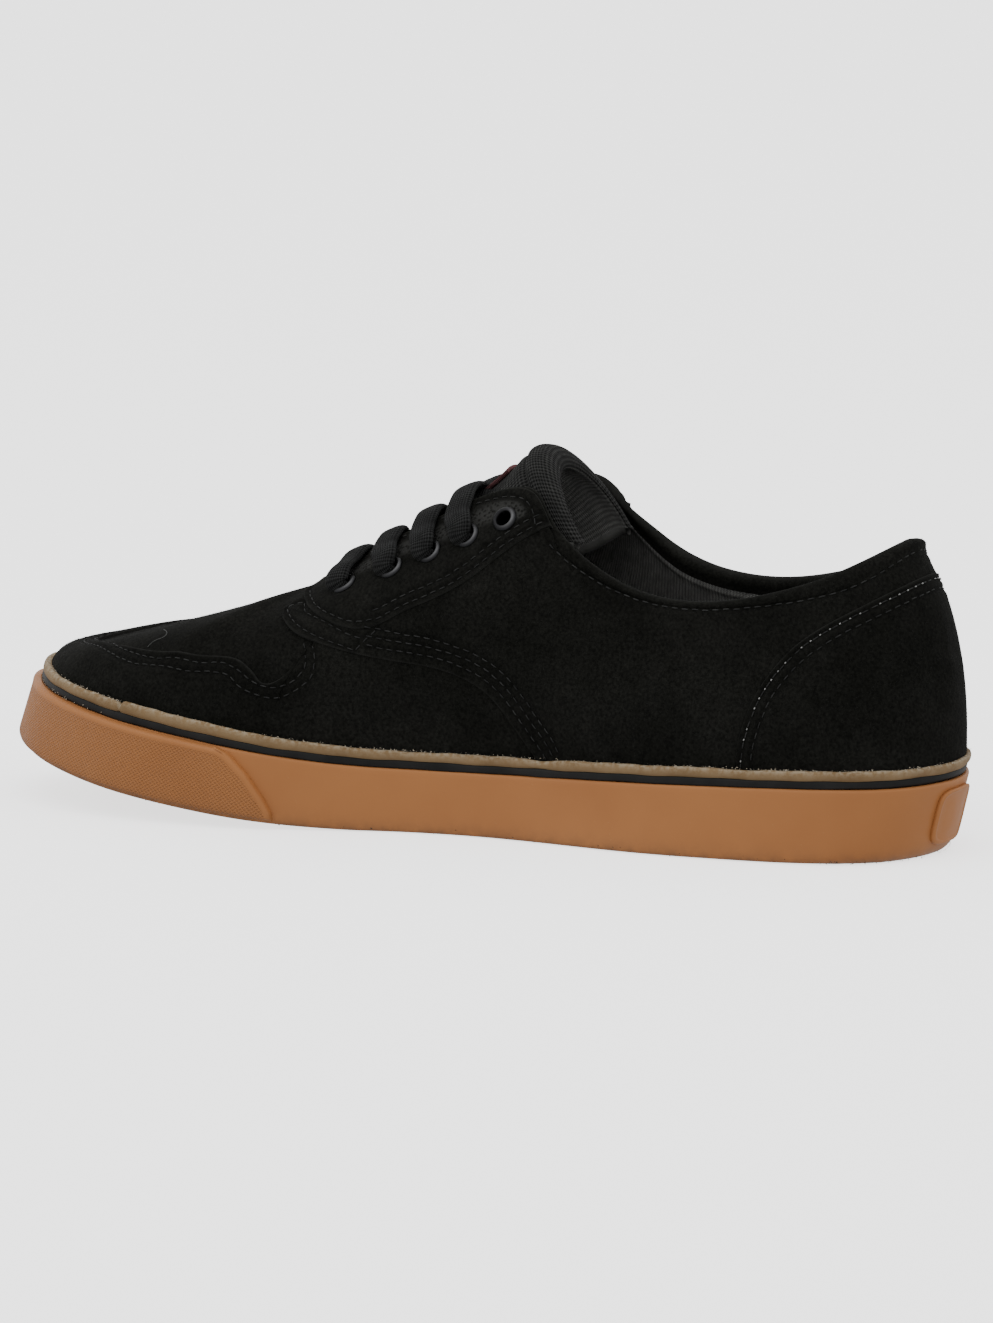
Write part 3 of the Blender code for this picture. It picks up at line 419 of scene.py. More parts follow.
def beside(line, offset, step=1.2 * MM):
    """The line moved sideways over the surface, to its upper side for a positive offset."""
    line = np.array(line)
    turns = max(1, int(abs(offset) / step))
    for _ in range(turns):
        along, rising, out = shell_frame(line[:, 0], line[:, 1])
        points = shell_point(line[:, 0], line[:, 1])
        up = unit(np.cross(unit(np.gradient(points, axis=0)), out)) * offset / turns
        aa = (along * along).sum(-1)
        ar = (along * rising).sum(-1)
        rr = (rising * rising).sum(-1)
        ua = (up * along).sum(-1)
        ur = (up * rising).sum(-1)
        det = aa * rr - ar * ar
        line = line + np.stack([(ua * rr - ur * ar) / det, (ur * aa - ua * ar) / det], -1)
    return line


def other_side(line):
    """The same line on the outer side, in the same sense of stations."""
    line = np.array(line)[::-1]
    return np.stack([2 - line[:, 0], line[:, 1]], -1)


def clipped(line, low, high):
    line = np.array(line)
    return line[(line[:, 0] >= low) & (line[:, 0] <= high)]


def climb_on(table):
    """Climb of an edge at a station, along the smooth line through its table."""
    line = through(table, 600)
    order = np.argsort(line[:, 0])
    return lambda station: np.interp(station, line[order, 0], line[order, 1])


quarter_line = through(QUARTER_EDGE)
counter_line = through(COUNTER_EDGE)
eyestay_line = through(EYESTAY_EDGE)
quarter_low = climb_on(QUARTER_EDGE)
counter_high = climb_on(COUNTER_EDGE)
eyestay_low = climb_on(EYESTAY_EDGE)


def stitch_rows():
    """Rows of stitches on the inner side, by name, cut off where they leave the leather."""
    heel_quarter = clipped(quarter_line, 0.398, 0.590)
    stay_front = clipped(eyestay_line, 0.585, 0.705)
    stay_back = clipped(eyestay_line, 0.446, 0.589)
    rows = [("quarter_near", beside(heel_quarter, 3.0 * MM)), ("quarter_middle", beside(heel_quarter, 5.6 * MM)),
            ("quarter_far", beside(heel_quarter, 8.0 * MM)), ("tip", through(TIP_ROW)),
            ("cross", through(CROSS_ROW, 40)), ("stay_front", beside(stay_front, 2.0 * MM)),
            ("stay_low", beside(stay_back, 1.7 * MM)), ("stay_high", beside(stay_back, 4.3 * MM)),
            ("stay_top", through(STAY_TOP_ROW)), ("collar", through(COLLAR_ROW)),
            ("toe_near", through(TOE_NEAR_ROW)), ("toe_far", through(TOE_FAR_ROW)),
            ("counter_near", beside(counter_line, -1.6 * MM)), ("counter_far", beside(counter_line, -4.4 * MM))]
    kept = []
    for name, line in rows:
        highest = 0.950 if name.startswith("stay_") else 1.0
        station, climb = line.T
        inside = (climb > -0.02) & (climb < highest) & (station > -0.001) & (station < 1.001)
        kept.append((name, line[inside]))
    return kept


ROWS = stitch_rows()


def tree_of(points):
    """Tree that finds the nearest of some points."""
    tree = kdtree.KDTree(len(points))
    for i, point in enumerate(points):
        tree.insert(point, i)
    tree.balance()
    return tree


def row_tree():
    """Tree of the points along both sides' stitch rows."""
    cloud = []
    for _, line in ROWS:
        for path in (line, other_side(line)):
            cloud.append(shell_point(path[:, 0], path[:, 1]))
    return tree_of(np.vstack(cloud))


def distance_to(tree, points):
    flat = points.reshape(-1, 3)
    return np.array([tree.find(point)[2] for point in flat]).reshape(points.shape[:-1])


# Meshes
def make_object(name, points, faces, finishes, slot_of_face=None, values=None):
    """Object that rides on the shoe, from points, faces, materials and per-point values."""
    mesh = bpy.data.meshes.new(name)
    mesh.from_pydata(points, [], faces)
    for finish in finishes:
        mesh.materials.append(finish)
    if slot_of_face is not None:
        mesh.polygons.foreach_set("material_index", np.asarray(slot_of_face, np.int32))
    for label, numbers in (values or {}).items():
        layer = mesh.attributes.new(label, "FLOAT", "POINT")
        layer.data.foreach_set("value", np.asarray(numbers, np.float32).ravel())
    mesh.validate()
    mesh.shade_smooth()
    mesh.update()
    thing = bpy.data.objects.new(name, mesh)
    bpy.context.scene.collection.objects.link(thing)
    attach(thing, "root")
    return thing


def grid_faces(rows, columns, offset=0, close_rows=False, close_columns=False, flip=False):
    """Quads of a grid of points numbered row by row."""
    i = np.arange(rows if close_rows else rows - 1)
    j = np.arange(columns if close_columns else columns - 1)
    I, J = np.meshgrid(i, j, indexing="ij")
    K, L = (I + 1) % rows, (J + 1) % columns
    quads = np.stack([I * columns + J, I * columns + L, K * columns + L, K * columns + J], -1)
    quads = quads.reshape(-1, 4) + offset
    return quads[:, ::-1] if flip else quads


def sheet_object(name, outer, inner, finish, values=None):
    """Closed sheet between two grids of the same size, with walls round their edges."""
    rows, columns = outer.shape[:2]
    count = rows * columns
    top = grid_faces(rows, columns)
    under = grid_faces(rows, columns, offset=count, flip=True)
    rim = np.r_[np.arange(columns), np.arange(1, rows) * columns + columns - 1,
                (rows - 1) * columns + np.arange(columns - 1)[::-1],
                np.arange(1, rows - 1)[::-1] * columns]
    after = np.roll(rim, -1)
    walls = np.stack([after, rim, rim + count, after + count], -1)
    faces = np.vstack([top, under, walls])
    points = np.vstack([outer.reshape(-1, 3), inner.reshape(-1, 3)])
    if values:
        values = {label: np.r_[numbers.ravel(), numbers.ravel()] for label, numbers in values.items()}
    return make_object(name, points, faces.tolist(), [finish], None, values)


def pebble_line(outer_side):
    """Tree of the points along the eyelets, where wear has left the facing's leather pebbly."""
    line = through(WORN_LINE)
    if outer_side:
        line = other_side(line)
    return tree_of(shell_point(line[:, 0], line[:, 1]))


def panel(name, stations, low, high, lift_low, lift_high, tree, under_next=False, across=54,
          depth=SEWN_DIP, pebbled=False):
    """Suede panel between two climbs, with rounded cut edges and its stitch rows pulled in.

    A panel whose top runs under the next layer has no cut edge there."""
    stations = np.asarray(stations, float)
    lows = np.array([low(s) for s in stations])
    highs = np.array([high(s) for s in stations])
    widths = np.linalg.norm(shell_point(stations, highs) - shell_point(stations, lows), axis=-1)
    widths = np.maximum(widths, 0.4 * MM)
    spread = np.linspace(0, 1, across)
    spread = spread - 0.06 * np.sin(2 * np.pi * spread)
    rows = []
    for i, station in enumerate(stations):
        bevel = min(0.3 * MM / widths[i], 0.2)
        shares = np.r_[0, 0, bevel, bevel + (1 - 2 * bevel) * spread[1:-1], 1 - bevel, 1, 1]
        rows.append(lows[i] + (highs[i] - lows[i]) * shares)
    climbs = np.array(rows)
    places = np.repeat(stations[:, None], climbs.shape[1], axis=1)
    columns = climbs.shape[1]
    share = (climbs - lows[:, None]) / np.maximum(highs - lows, 1e-6)[:, None]
    lift_lows = np.array([lift_low(s) for s in stations])[:, None]
    lift_highs = np.array([lift_high(s) for s in stations])[:, None]
    lifts = lift_lows + (lift_highs - lift_lows) * smooth(share)
    edge_drop = np.ones(columns)
    edge_drop[[0, -1]] = 0.0
    edge_drop[[1, -2]] = 0.78
    if under_next:
        edge_drop[-2:] = 1.0
    lifts *= edge_drop[None, :]
    lifts[:, 0] -= 0.25 * MM
    lifts[:, -1] -= 0.25 * MM
    ends = np.ones(len(stations))
    ends[[0, -1]] = 0.0
    if len(stations) > 6:
        ends[[1, -2]] = 0.8
    lifts *= ends[:, None]
    base = shell_point(places, climbs)
    near = distance_to(tree, base)
    lifts -= depth * np.exp(-(near / (0.85 * MM)) ** 2) * (edge_drop[None, :] > 0.5)
    lifts += 0.10 * MM * np.exp(-((near - 1.9 * MM) / (0.8 * MM)) ** 2)
    outer = surface(places, climbs, lifts)
    inner = surface(places, climbs, np.minimum(lifts - 0.2 * MM, 0.15 * MM))
    to_low = share * widths[:, None]
    to_high = (1 - share) * widths[:, None]
    # rim: pale line along the cut edges, partly fuzz of the cut suede and partly painted highlight
    rim = np.exp(-(np.minimum(to_low, 1.0 if under_next else to_high) / (0.38 * MM)) ** 2)
    # painted shade along the stitch grooves: how close each point is to a stitch row
    stitch_groove_shade = np.exp(-(near / (1.2 * MM)) ** 2)
    values = {"rim": rim, "stitch_groove_shade": stitch_groove_shade}
    if pebbled:
        middle = pebble_line(stations[0] > 1)
        patch = np.exp(-(distance_to(middle, base) / (3.4 * MM)) ** 4)
        values["pebble"] = patch * smooth((near - 1 * MM) / MM)
    return sheet_object(name, outer, inner, FINISH["suede"], values)


# Materials
class Finish:
    """A Principled material and the nodes that feed it."""

    def __init__(self, name, colour, roughness, metallic=0.0, sheen=0.0, sheen_roughness=0.5,
                 coat=0.0, specular=0.5):
        self.material = bpy.data.materials.new(name)
        self.material.use_nodes = True
        self.nodes = self.material.node_tree.nodes
        self.links = self.material.node_tree.links
        self.shader = self.nodes["Principled BSDF"]
        for socket, value in (("Base Color", (*colour, 1)), ("Roughness", roughness),
                              ("Metallic", metallic), ("Sheen Weight", sheen),
                              ("Sheen Roughness", sheen_roughness), ("Coat Weight", coat),
                              ("Specular IOR Level", specular)):
            self.shader.inputs[socket].default_value = value
        self.place = self.nodes.new("ShaderNodeTexCoord").outputs["Object"]
        self.normal = None

    def plug(self, value, socket):
        if isinstance(value, bpy.types.NodeSocket):
            self.links.new(value, socket)
        else:
            socket.default_value = value

    def noise(self, size, detail=3.0, roughness=0.55):
        """Noise whose features are about a size across."""
        node = self.nodes.new("ShaderNodeTexNoise")
        node.inputs["Scale"].default_value = 1 / size
        node.inputs["Detail"].default_value = detail
        node.inputs["Roughness"].default_value = roughness
        self.links.new(self.place, node.inputs["Vector"])
        return node.outputs["Fac"]

    def cells(self, size):
        """Distance from the middles of cells about a size across."""
        node = self.nodes.new("ShaderNodeTexVoronoi")
        node.inputs["Scale"].default_value = 1 / size
        self.links.new(self.place, node.inputs["Vector"])
        return node.outputs["Distance"]

    def value(self, name):
        """Value that the mesh keeps at its points."""
        node = self.nodes.new("ShaderNodeAttribute")
        node.attribute_name = name
        return node.outputs["Fac"]

    def math(self, operation, first, second=0.0, third=0.0):
        node = self.nodes.new("ShaderNodeMath")
        node.operation = operation
        for socket, number in zip(node.inputs, (first, second, third)):
            self.plug(number, socket)
        return node.outputs[0]

    def spread(self, value, low, high, to_low=0.0, to_high=1.0):
        """Value from one range to another, held at its ends."""
        node = self.nodes.new("ShaderNodeMapRange")
        for label, number in (("Value", value), ("From Min", low), ("From Max", high),
                              ("To Min", to_low), ("To Max", to_high)):
            self.plug(number, node.inputs[label])
        return node.outputs["Result"]

    def mix(self, share, first, second):
        node = self.nodes.new("ShaderNodeMix")
        node.data_type = "RGBA"
        self.plug(share, node.inputs["Factor"])
        for socket, colour in ((node.inputs[6], first), (node.inputs[7], second)):
            self.plug(colour if isinstance(colour, bpy.types.NodeSocket) else (*colour, 1), socket)
        return node.outputs[2]

    def colour(self, socket):
        self.links.new(socket, self.shader.inputs["Base Color"])

    def rough(self, socket):
        self.links.new(socket, self.shader.inputs["Roughness"])

    def bump(self, height, distance, strength=1.0):
        """Adds a bump to those already there."""
        node = self.nodes.new("ShaderNodeBump")
        node.inputs["Distance"].default_value = distance
        node.inputs["Strength"].default_value = strength
        self.links.new(height, node.inputs["Height"])
        if self.normal:
            self.links.new(self.normal, node.inputs["Normal"])
        self.normal = node.outputs["Normal"]
        self.links.new(self.normal, self.shader.inputs["Normal"])


def suede_finish():
    """Black suede: brushed tones, nap, pale cut rims and collar crown that are partly fuzz and partly painted
    sheen, painted shade along the stitch grooves, and pebbly patches that wear has left.
    """
    base = (0.0058, 0.0059, 0.0049)
    light = (0.0104, 0.0104, 0.0090)
    finish = Finish("black_suede_nap", base, 0.92, sheen=0.010, sheen_roughness=0.45, specular=0.04)
    broad = finish.noise(0.035, 3.0, 0.6)
    middle = finish.noise(0.006, 4.0, 0.62)
    fine = finish.noise(0.0009, 3.0, 0.7)
    brushed = finish.math("ADD", finish.math("MULTIPLY", broad, 0.75), finish.math("MULTIPLY", middle, 0.25))
    share = finish.spread(brushed, 0.40, 0.64)
    nap = finish.mix(share, base, light)
    speck = finish.spread(fine, 0.35, 0.70, 0.55, 1.6)
    scale = finish.nodes.new("ShaderNodeVectorMath")
    scale.operation = "SCALE"
    finish.links.new(nap, scale.inputs[0])
    finish.links.new(speck, scale.inputs["Scale"])
    # pale line along the cut edges and the collar's crown: partly fuzz of the cut suede, partly painted sheen
    # where the rounded edges catch the light
    rim = finish.value("rim")
    edge_fuzz_and_sheen = finish.math("MULTIPLY", rim, finish.spread(middle, 0.3, 0.6, 0.35, 1.0))
    # here the nap gets its pale edges, fuzz with painted sheen; below, the pebbly patches that wear has left
    wear_and_highlight = finish.mix(finish.math("MULTIPLY", edge_fuzz_and_sheen, 0.75), scale.outputs[0], (0.027, 0.027, 0.025))
    pebble = finish.math("MULTIPLY", finish.value("pebble"), finish.spread(finish.cells(0.0011), 0.15, 0.55))
    wear_and_highlight = finish.mix(finish.math("MULTIPLY", pebble, 0.8), wear_and_highlight, (0.036, 0.036, 0.034))
    # painted shade: the suede is darkened along the stitch rows, in the grooves they pull in
    stitch_groove_shade = finish.math("MULTIPLY", finish.value("stitch_groove_shade"), 0.35)
    finish.colour(finish.mix(stitch_groove_shade, wear_and_highlight, (0.0022, 0.0022, 0.0020)))
    finish.bump(finish.noise(0.0030, 4.0, 0.6), 0.00022, 0.8)
    finish.bump(fine, 0.00016, 0.9)
    finish.bump(pebble, 0.00025, 1.0)
    return finish.material


def gum_finish(name):
    """Satin gum rubber, blotchy and dusty, darker towards its foot."""
    finish = Finish(name, (0.33, 0.13, 0.038), 0.46, specular=0.26)
    blotch = finish.spread(finish.noise(0.05, 3.0, 0.55), 0.35, 0.7)
    body = finish.mix(blotch, (0.355, 0.138, 0.043), (0.41, 0.166, 0.054))
    dust = finish.spread(finish.noise(0.0011, 2.0, 0.6), 0.70, 0.82)
    body = finish.mix(finish.math("MULTIPLY", dust, 0.30), body, (0.46, 0.25, 0.11))
    # darker towards the foot of the wall, in a band about 2 mm high broken up by noise
    low = finish.value("foot")
    foot_darkening = finish.math("MULTIPLY", low, finish.spread(finish.noise(0.004, 3.0, 0.6), 0.30, 0.65, 0.25, 1.0))
    finish.colour(finish.mix(foot_darkening, body, (0.115, 0.060, 0.032)))
    finish.rough(finish.spread(finish.noise(0.012, 3.0, 0.6), 0.3, 0.7, 0.40, 0.54))
    finish.bump(finish.noise(0.0016, 3.0, 0.6), 0.00005, 0.5)
    return finish


def main_finishes():
    """Suede, gum, khaki and stripe, by name."""
    made = {"suede": suede_finish(), "gum": gum_finish("gum_rubber_satin").material}
    khaki = Finish("khaki_rubber_matt", (0.24, 0.15, 0.070), 0.62, specular=0.22)
    blotch = khaki.spread(khaki.noise(0.012, 4.0, 0.6), 0.35, 0.68)
    body = khaki.mix(blotch, (0.175, 0.108, 0.048), (0.235, 0.155, 0.077))
    grain = khaki.spread(khaki.noise(0.0014, 3.0, 0.7), 0.42, 0.60)
    smear = khaki.math("MULTIPLY", khaki.value("glue"), grain)
    khaki.colour(khaki.mix(smear, body, (0.36, 0.30, 0.21)))
    khaki.bump(khaki.noise(0.0012, 3.0, 0.6), 0.00008, 0.6)
    made["khaki"] = khaki.material

    stripe = Finish("black_rubber_satin", (0.012, 0.012, 0.012), 0.5, specular=0.18)
    stripe.colour(stripe.mix(stripe.spread(stripe.noise(0.010, 4.0, 0.6), 0.35, 0.7),
                             (0.007, 0.007, 0.007), (0.015, 0.0145, 0.014)))
    stripe.bump(stripe.noise(0.0016, 3.0, 0.6), 0.00005, 0.6)
    made["stripe"] = stripe.material
    return made


def simple_finish(name, colour, light, roughness, grain, height, **more):
    """Material with two tones of noise and a fine grain."""
    finish = Finish(name, colour, roughness, **more)
    share = finish.spread(finish.noise(grain * 6, 3.0, 0.6), 0.35, 0.68)
    finish.colour(finish.mix(share, colour, light))
    finish.bump(finish.noise(grain, 3.0, 0.65), height, 0.9)
    return finish


def woven_finish(name, colour, light, pitch, height, slope=1.0, depth=0.25):
    """Cloth with crossing threads that follow the piece's own run and width, in millimetres, with painted shade in
    the hollows between them.
    """
    finish = simple_finish(name, colour, light, 0.88, 0.0006, 0.00012, sheen=0.02, specular=0.08)
    run = finish.math("MULTIPLY", finish.value("run"), 2 * math.pi / pitch)
    side = finish.math("MULTIPLY", finish.value("side"), 2 * math.pi / pitch * slope)
    first = finish.math("SINE", finish.math("ADD", run, side))
    second = finish.math("SINE", finish.math("SUBTRACT", run, side))
    weave = finish.math("MULTIPLY", first, second)
    finish.bump(weave, height, 1.0)
    # painted shade: the cloth is darker where the weave's bump is low, depth times its own colour at the deepest
    body = finish.shader.inputs["Base Color"].links[0].from_socket
    hollow_shade = tuple(depth * value for value in colour)
    finish.colour(finish.mix(finish.spread(weave, -0.5, 0.35), hollow_shade, body))
    return finish.material


def more_finishes():
    """The rest of the materials, by name."""
    made = {}
    bumper = gum_finish("gum_rubber_lattice")
    run = bumper.math("MULTIPLY", bumper.value("run"), 2 * math.pi / 1.37)
    side = bumper.math("MULTIPLY", bumper.value("side"), 2 * math.pi / 1.15)
    first = bumper.math("SINE", bumper.math("ADD", run, side))
    second = bumper.math("SINE", bumper.math("SUBTRACT", run, side))
    lattice = bumper.math("MULTIPLY", bumper.math("MAXIMUM", first, second), bumper.value("lattice"))
    bumper.bump(lattice, 0.00017, 1.0)
    made["bumper"] = bumper.material
    made["thread"] = simple_finish("black_thread", (0.008, 0.008, 0.008), (0.027, 0.027, 0.026), 0.6,
                                   0.0009, 0.00008, specular=0.2).material
    # painted highlight: pale colour of the beads that stand in for glints on the counter's stitches
    made["glint"] = simple_finish("glinting_thread", (0.16, 0.16, 0.155), (0.34, 0.34, 0.33), 0.4,
                                  0.0004, 0.00005).material
    made["lace"] = woven_finish("felted_lace", (0.0145, 0.0147, 0.0145), (0.0270, 0.0275, 0.0270), 1.5,
                                0.00020)
    made["mesh"] = woven_finish("tongue_mesh", (0.024, 0.024, 0.023), (0.042, 0.042, 0.040), 2.1, 0.00030)
    made["lining"] = woven_finish("lining_cloth", (0.098, 0.098, 0.093), (0.150, 0.150, 0.142), 0.95, 0.00012,
                                  slope=0.35, depth=0.6)
    made["insole"] = simple_finish("insole_cloth_woven", (0.010, 0.010, 0.010), (0.018, 0.018, 0.017), 0.9,
                                   0.0007, 0.00015, specular=0.1).material
    metal = simple_finish("dark_metal", (0.016, 0.016, 0.017), (0.032, 0.032, 0.034), 0.42,
                          0.002, 0.00003, metallic=1.0)
    body = metal.shader.inputs["Base Color"].links[0].from_socket
    # painted highlight: lighter metal on one side of each lip's crown
    metal.colour(metal.mix(metal.value("wear_and_highlight"), body, (0.11, 0.11, 0.113)))
    made["metal"] = metal.material
    made["label"] = woven_finish("label_cloth", (0.150, 0.060, 0.062), (0.205, 0.085, 0.088), 0.7, 0.00010)
    # the outsole is a darker gum than the foxing
    made["sole"] = simple_finish("gum_outsole_darker", (0.20, 0.098, 0.046), (0.30, 0.145, 0.062), 0.62,
                                 0.0015, 0.00012, specular=0.35).material
    made["dirt"] = simple_finish("dry_dirt", (0.030, 0.020, 0.014), (0.065, 0.045, 0.032), 0.95,
                                 0.0006, 0.0001).material
    made["glue"] = simple_finish("pale_glue", (0.30, 0.25, 0.18), (0.48, 0.42, 0.33), 0.7,
                                 0.0005, 0.0001).material
    made["loose"] = simple_finish("loose_thread", (0.050, 0.050, 0.048), (0.080, 0.080, 0.077), 0.7,
                                  0.001, 0.00005).material
    made["fuzz"] = simple_finish("suede_fuzz", (0.006, 0.006, 0.0055), (0.016, 0.016, 0.015), 0.95,
                                 0.001, 0.0001).material
    return made


FINISH = main_finishes() | more_finishes()


# Upper's shell
def rib_of(station):
    station = np.asarray(station, float) % 2
    return np.minimum(station, 2 - station)


collar_row = climb_on(COLLAR_ROW)


def wall_at(ribs, climbs):
    """Thickness of the shell, padded behind the collar."""
    behind = 1 - smooth((ribs - 0.36) / 0.08)
    return UPPER_WALL + COLLAR_PADDING * behind * smooth((climbs - 0.3) / 0.5)


def collar_lift(ribs, climbs):
    """How far the padded roll stands out above the collar's row of stitches."""
    behind = 1 - smooth((ribs - 0.40) / 0.05)
    heel = 1.3 * MM * (1 - smooth((ribs - 0.04) / 0.10)) * smooth((climbs - 0.72) / 0.1)
    return 1.25 * MM * behind * smooth((climbs - collar_row(ribs) - 0.002) / 0.028) + heel


def make_shell():
    """Hollow shell: suede outside and over the rim, ribbed lining inside."""
    half = np.r_[np.linspace(0, 0.42, 105, endpoint=False),
                 np.linspace(0.42, THROAT_FRONT, 110, endpoint=False), np.linspace(THROAT_FRONT, 1, 56)]
    stations = np.r_[half, 2 - half[-2:0:-1]]
    ribs = rib_of(stations)
    front = smooth((ribs - 0.730) / 0.02)
    climb_length = np.linalg.norm(shell_frame(stations, 0.99 + 0 * stations)[1], axis=-1)
    thick = wall_at(ribs, 1.0 + 0 * ribs)
    roll = 0.55 * thick / climb_length * (1 - front)
    outer_share = np.linspace(0, 1, 46)
    inner_share = np.r_[np.linspace(0, 0.46, 74), np.linspace(0.46, 1, 16)[1:]]
    turn = np.linspace(0, math.pi, 12)[1:-1]
    columns = []
    slots = []
    top = 1 - roll
    for share in outer_share:
        climb = -0.1 + (top + 0.1) * share
        columns.append(surface(stations, climb, collar_lift(ribs, climb)))
        slots.append(0)
    out = shell_frame(stations, 0.985 + 0 * stations)[2]
    for angle in turn:
        climb = top + roll * math.sin(angle)
        lift = collar_lift(ribs, climb) * (1 + math.cos(angle)) / 2
        columns.append(surface(stations, climb, lift) - out * (thick * (1 - math.cos(angle)) / 2)[:, None])
        slots.append(0)
    for share in inner_share:
        climb = top + (-0.16 - top) * share
        depth = wall_at(ribs, climb)
        below = share * climb_length
        seam = 0.5 * MM * np.exp(-((below - 3.4 * MM) / (0.7 * MM)) ** 2)
        columns.append(surface(stations, climb, -depth - seam))
        slots.append(0 if share * 1.16 * 68 * MM < 3.4 * MM else 1)
    sections = np.stack(columns, axis=1)
    rows, count = sections.shape[:2]
    run = np.linalg.norm(np.diff(sections, axis=1), axis=-1).cumsum(axis=1) / MM
    run = np.concatenate([np.zeros((rows, 1)), run], axis=1)
    side = np.repeat((stations * 385)[:, None], count, axis=1)
    crown = len(outer_share) + len(turn) // 2
    # rim: pale band on the crown of the collar's rolled edge, painted sheen where the roll catches the light
    rim = np.exp(-((run - run[:, crown:crown + 1]) / 1.3) ** 2) * 0.6
    faces = grid_faces(rows, count, close_rows=True, close_columns=True)
    slot = np.tile(slots, rows)
    rim_first = len(outer_share) - 1
    rim_last = rim_first + len(turn) + 1
    column = np.tile(np.arange(count), rows)
    row = np.repeat(np.arange(rows), count)
    closed = (ribs[row] >= THROAT_FRONT) & (ribs[(row + 1) % rows] >= THROAT_FRONT)
    keep = ~(closed & (column >= rim_first) & (column < rim_last))
    shell = make_object("upper_shell", sections.reshape(-1, 3), faces[keep].tolist(),
                        [FINISH["suede"], FINISH["lining"]], slot[keep],
                        {"rim": rim.ravel(), "stitch_groove_shade": np.zeros(rows * count), "run": run.ravel(),
                         "side": side.ravel()})
    weld(shell)
    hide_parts("upper")
    return shell


def weld(thing, reach=0.2 * MM):
    """Join the two halves of the shell along the crest in front of the throat."""
    builder = bmesh.new()
    builder.from_mesh(thing.data)
    low = shell_point(THROAT_FRONT - 0.002, 1.0)[0]
    close = [v for v in builder.verts if v.co.x >= low - 1 * MM and abs(v.co.y - CREST_SIDE) < 0.5 * MM]
    bmesh.ops.remove_doubles(builder, verts=close, dist=reach)
    builder.to_mesh(thing.data)
    builder.free()
    thing.data.shade_smooth()


def stations_between(first, last, step=0.9 * MM, side_length=0.385):
    """Stations at even steps along one side."""
    return np.linspace(first, last, max(8, int(abs(last - first) * side_length / step)))


def both_sides(name, rows, low, high, lift_low, lift_high, tree, nodes, **more):
    """The same panel on each side, in place of the two solids named."""
    made = []
    for place, mirrored, node in (("medial", False, nodes[0]), ("lateral", True, nodes[1])):
        turned = 2 - np.asarray(rows)[::-1] if mirrored else np.asarray(rows)
        thing = panel(f"{name}_{place}", turned, lambda s: low(rib_of(s)), lambda s: high(rib_of(s)),
                      lambda s: lift_low(rib_of(s)), lambda s: lift_high(rib_of(s)), tree, **more)
        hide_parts(node)
        made.append(thing)
    return made


def make_panels():
    """Suede overlays, each a closed sheet with a rounded cut edge."""
    tree = row_tree()
    made = []

    def quarter_foot(rib):
        return max(counter_high(rib) - 0.03, -0.04) if rib < 0.22 else max(quarter_low(rib), -0.04)

    def quarter_top(rib):
        collar = float(collar_row(rib)) + 0.006
        joined = collar + (0.955 - collar) * float(smooth((rib - 0.425) / 0.017))
        return joined if rib < 0.4425 else min(0.955, float(eyestay_low(rib)) + 0.02)

    def quarter_lift(rib):
        return 1.3 * MM + 0.45 * MM * float(smooth((rib - 0.22) / 0.1))

    made += both_sides("suede_quarter", stations_between(0.0, 0.705), quarter_foot, quarter_top,
                       quarter_lift, lambda rib: 1.3 * MM, tree, ("quarter_medial", "quarter_lateral"),
                       under_next=True)
    made += both_sides("suede_facing", stations_between(0.4415, 0.707, 0.7 * MM),
                       lambda rib: min(float(eyestay_low(rib)), 0.97), lambda rib: 0.978,
                       lambda rib: 2.0 * MM * float(smooth((rib - 0.4385) / 0.010)),
                       lambda rib: 1.5 * MM * float(smooth((rib - 0.4385) / 0.022)), tree,
                       ("eyestay_medial", "eyestay_lateral"), across=56, pebbled=True)
    toe_high = climb_on(TOE_PANEL_EDGE)

    def toe_top(station):
        rib = float(rib_of(station))
        return float(quarter_low(rib)) + 0.02 if rib < 0.6345 else float(toe_high(rib))

    def toe_foot(station):
        return -0.05 - 0.05 * float(smooth((rib_of(station) - 0.82) / 0.1))
    half = np.r_[stations_between(0.405, 0.625), stations_between(0.6275, 0.665, 0.35 * MM),
                 stations_between(0.668, 1.0)]
    rows = np.r_[half, 2 - half[-2::-1]]
    toe = panel("suede_toe", rows, toe_foot, toe_top, lambda s: 1.1 * MM, lambda s: 1.1 * MM, tree,
                across=36)
    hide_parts("toe_panel")

    def counter_rise(station):
        return 1.75 * MM + 0.3 * MM * float(smooth(rib_of(station) / 0.08))
    half = np.r_[stations_between(0, 0.18), stations_between(0.183, 0.2195, 0.4 * MM)]
    rows = np.r_[-half[::-1], half[1:]]
    counter = panel("suede_counter", rows, lambda s: -0.05, lambda s: float(counter_high(rib_of(s))),
                    lambda s: 1.3 * MM, counter_rise, tree, across=56)
    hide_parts("heel_counter")
    return made + [toe, counter]


# Finding the leather's face under a place
def top_tree(things):
    """Tree of all the faces of some objects."""
    points, faces = [], []
    for thing in things:
        offset = len(points)
        points += [v.co.copy() for v in thing.data.vertices]
        faces += [[i + offset for i in polygon.vertices] for polygon in thing.data.polygons]
    return BVHTree.FromPolygons(points, faces)


def seat(tree, station, climb):
    """Point on the outermost leather at a place, and the unit vector out of the shell there."""
    base = Vector(shell_point(station, climb))
    out = Vector(shell_frame(station, climb)[2])
    hit = tree.ray_cast(base + out * SEAT_REACH, -out, SEAT_REACH + 2 * MM)[0]
    return (hit if hit else base + out * 1.5 * MM), out


